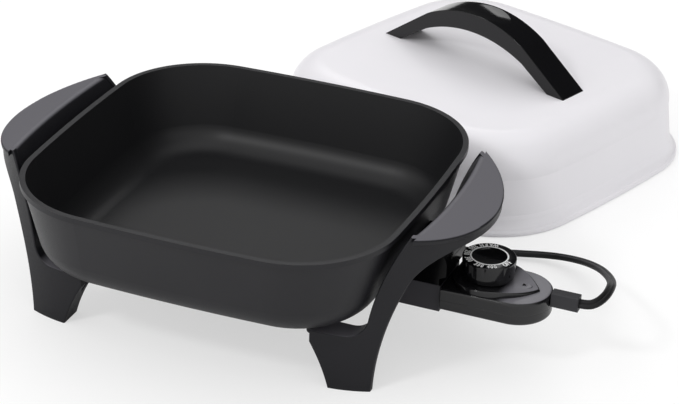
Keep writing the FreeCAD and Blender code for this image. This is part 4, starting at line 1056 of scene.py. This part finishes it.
@dataclass
class Cord:
    """Flat twin cord that leaves the heat control, turns back and lies behind the pan up to its plug."""

    route: tuple[tuple[float, float, float], ...] = (
        (258.5, 0.0, 57.0),
        (265.2, 0.0, 57.0),
        (270.4, 4.2, 58.4),
        (273.0, 12.0, 59.2),
        (273.4, 22.0, 58.4),
        (271.6, 37.0, 55.4),
        (266.6, 59.0, 46.0),
        (257.6, 86.0, 35.0),
        (243.0, 115.0, 24.0),
        (222.0, 139.0, 13.5),
        (196.0, 151.0, 6.0),
        (164.0, 144.0, 4.0),
        (126.0, 131.0, 4.0),
        (82.0, 125.0, 4.0),
        (36.0, 131.0, 4.0),
        (-8.0, 137.0, 4.0),
        (-48.0, 130.0, 4.2),
        (-76.0, 123.0, 6.4),
        (-96.0, 121.0, 8.8),
        (-112.0, 120.0, 8.8),
    )
    width: float = 7.0
    core_radius: float = 2.05
    real_length: float = 0.505
    line_steps: int = 12
    core_steps: int = 12
    seam: float = 0.92
    first_face: tuple[float, float, float] = (0.25, -0.7, 0.65)
    flat_from: float = 0.5

    def spline_points(self) -> list[Vector]:
        """Points along the smooth line that the route's points control.

        Returns:
            Points in metres, close together, from the heat control to the plug.
        """
        curve = bpy.data.curves.new("cord_line", "CURVE")
        curve.dimensions = "3D"
        curve.resolution_u = self.line_steps
        spline = curve.splines.new("NURBS")
        spline.points.add(len(self.route) - 1)
        for point, place in zip(spline.points, self.route):
            point.co = (*at_pan(*place), 1.0)
        spline.order_u = 3
        spline.use_endpoint_u = True
        bare = bpy.data.objects.new("cord_line", curve)
        mesh = bpy.data.meshes.new_from_object(bare)
        points = [vertex.co.copy() for vertex in mesh.vertices]
        bpy.data.objects.remove(bare)
        bpy.data.meshes.remove(mesh)
        return points

    def section(self) -> list[tuple[float, float]]:
        """Outline of the two cores side by side.

        Returns:
            Points as sideways and upward millimetres.
        """
        radius = self.core_radius
        apart = self.width / 2 - radius
        dip = math.acos(min(apart / radius, 1.0)) * self.seam
        outline = []
        for side in (1, -1):
            for number in range(self.core_steps + 1):
                turn = -math.pi + dip + (2 * math.pi - 2 * dip) * number / self.core_steps
                sideways = side * (apart + radius * math.cos(turn))
                outline.append((sideways, side * radius * math.sin(turn)))
        return outline

    def build(self, finishes: Finishes) -> None:
        """Args:
            finishes: Where the jacket's look comes from.
        """
        points = self.spline_points()
        outline = self.section()
        first_face, upward = Vector(self.first_face), Vector((0, 0, 1))
        shape = bmesh.new()
        rows = []
        for number, point in enumerate(points):
            before, after = points[max(number - 1, 0)], points[min(number + 1, len(points) - 1)]
            along = (after - before).normalized()
            share = min(number / (len(points) * self.flat_from), 1.0)
            face = (first_face * (1 - share) + upward * share).normalized()
            across = face.cross(along).normalized()
            out = along.cross(across)
            rows.append([shape.verts.new(point + (across * x + out * z) * MM) for x, z in outline])
        skin(shape, rows)
        piece = as_piece("cord_twin", shape, finishes.get(CORD_JACKET), "heat_control")
        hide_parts("cord")
        LOG.info("cord made")


@dataclass
class Skillet:
    """Pan, handle and leg mouldings, terminal guard and what lies under the pan."""

    def build(self, finishes: Finishes) -> None:
        """Finish the pieces that stand on the table."""
        finishes.dress(PAN_COAT, "pan")
        # The handles' tops carry a painted sheen.
        finishes.dress(SATIN_BLACK_PAINTED_SHEEN, "handle_right", "handle_left")
        # The guard's box carries a painted reflection of the floor.
        finishes.dress(GUARD_BLACK_PAINTED_REFLECTION, "terminal_guard")
        finishes.dress(HEATED_STEEL, "heating_element")
        finishes.dress(NICKEL, "terminal_pins")
        finishes.dress(CERAMIC, "terminal_bushings")
        finishes.dress(PLAIN_ALUMINIUM, "probe_tube")
        finishes.dress(ZINC_STEEL, "guard_screws", "handle_screws")


@dataclass
class Cover:
    """White cover with its arched handle."""

    def build(self, finishes: Finishes) -> None:
        """Finish the cover's pieces."""
        finishes.dress(ENAMEL_WHITE, "cover_shell")
        finishes.dress(STRAP_BLACK, "cover_handle")
        finishes.dress(ZINC_STEEL, "cover_screws")
        finishes.dress(CERAMIC, "cover_washers")


@dataclass
class HeatControl:
    """Plug-in housing, dial, probe and thermostat."""

    def build(self, finishes: Finishes) -> None:
        """Finish the housing, the dial and the inner pieces."""
        # The housing's top carries a painted reflection beyond the knob.
        finishes.dress(CONTROL_BLACK_PAINTED_REFLECTION, "control_base", "control_top")
        finishes.dress(LAMP_GLASS, "pilot_lamp")
        finishes.dress(NICKEL, "probe_sheath", "probe_rod", "plug_blades")
        finishes.dress(BRONZE, "contact_sleeves", "blade_upper", "blade_lower")
        finishes.dress(SILVER, "contact_points")
        finishes.dress(INSULATOR, "terminal_block")
        finishes.dress(ZINC_STEEL, "thermostat_frame", "stack_rivet", "control_screws", "dial_shaft")
        finishes.dress(CERAMIC, "stack_spacers")
        finishes.dress(RELIEF_BLACK, "strain_relief", "plug_body")
        DialPlateau().build(finishes)
        Knob().build(finishes)
        DialPrint().build(finishes)


def main() -> None:
    """Build the studio and every sub-assembly in order."""
    logging.basicConfig(level=logging.INFO)
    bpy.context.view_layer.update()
    finishes = Finishes()
    Studio().build()
    Cord().build(finishes)
    for part in (Skillet(), Cover(), HeatControl()):
        part.build(finishes)


if __name__ == "__main__":
    main()
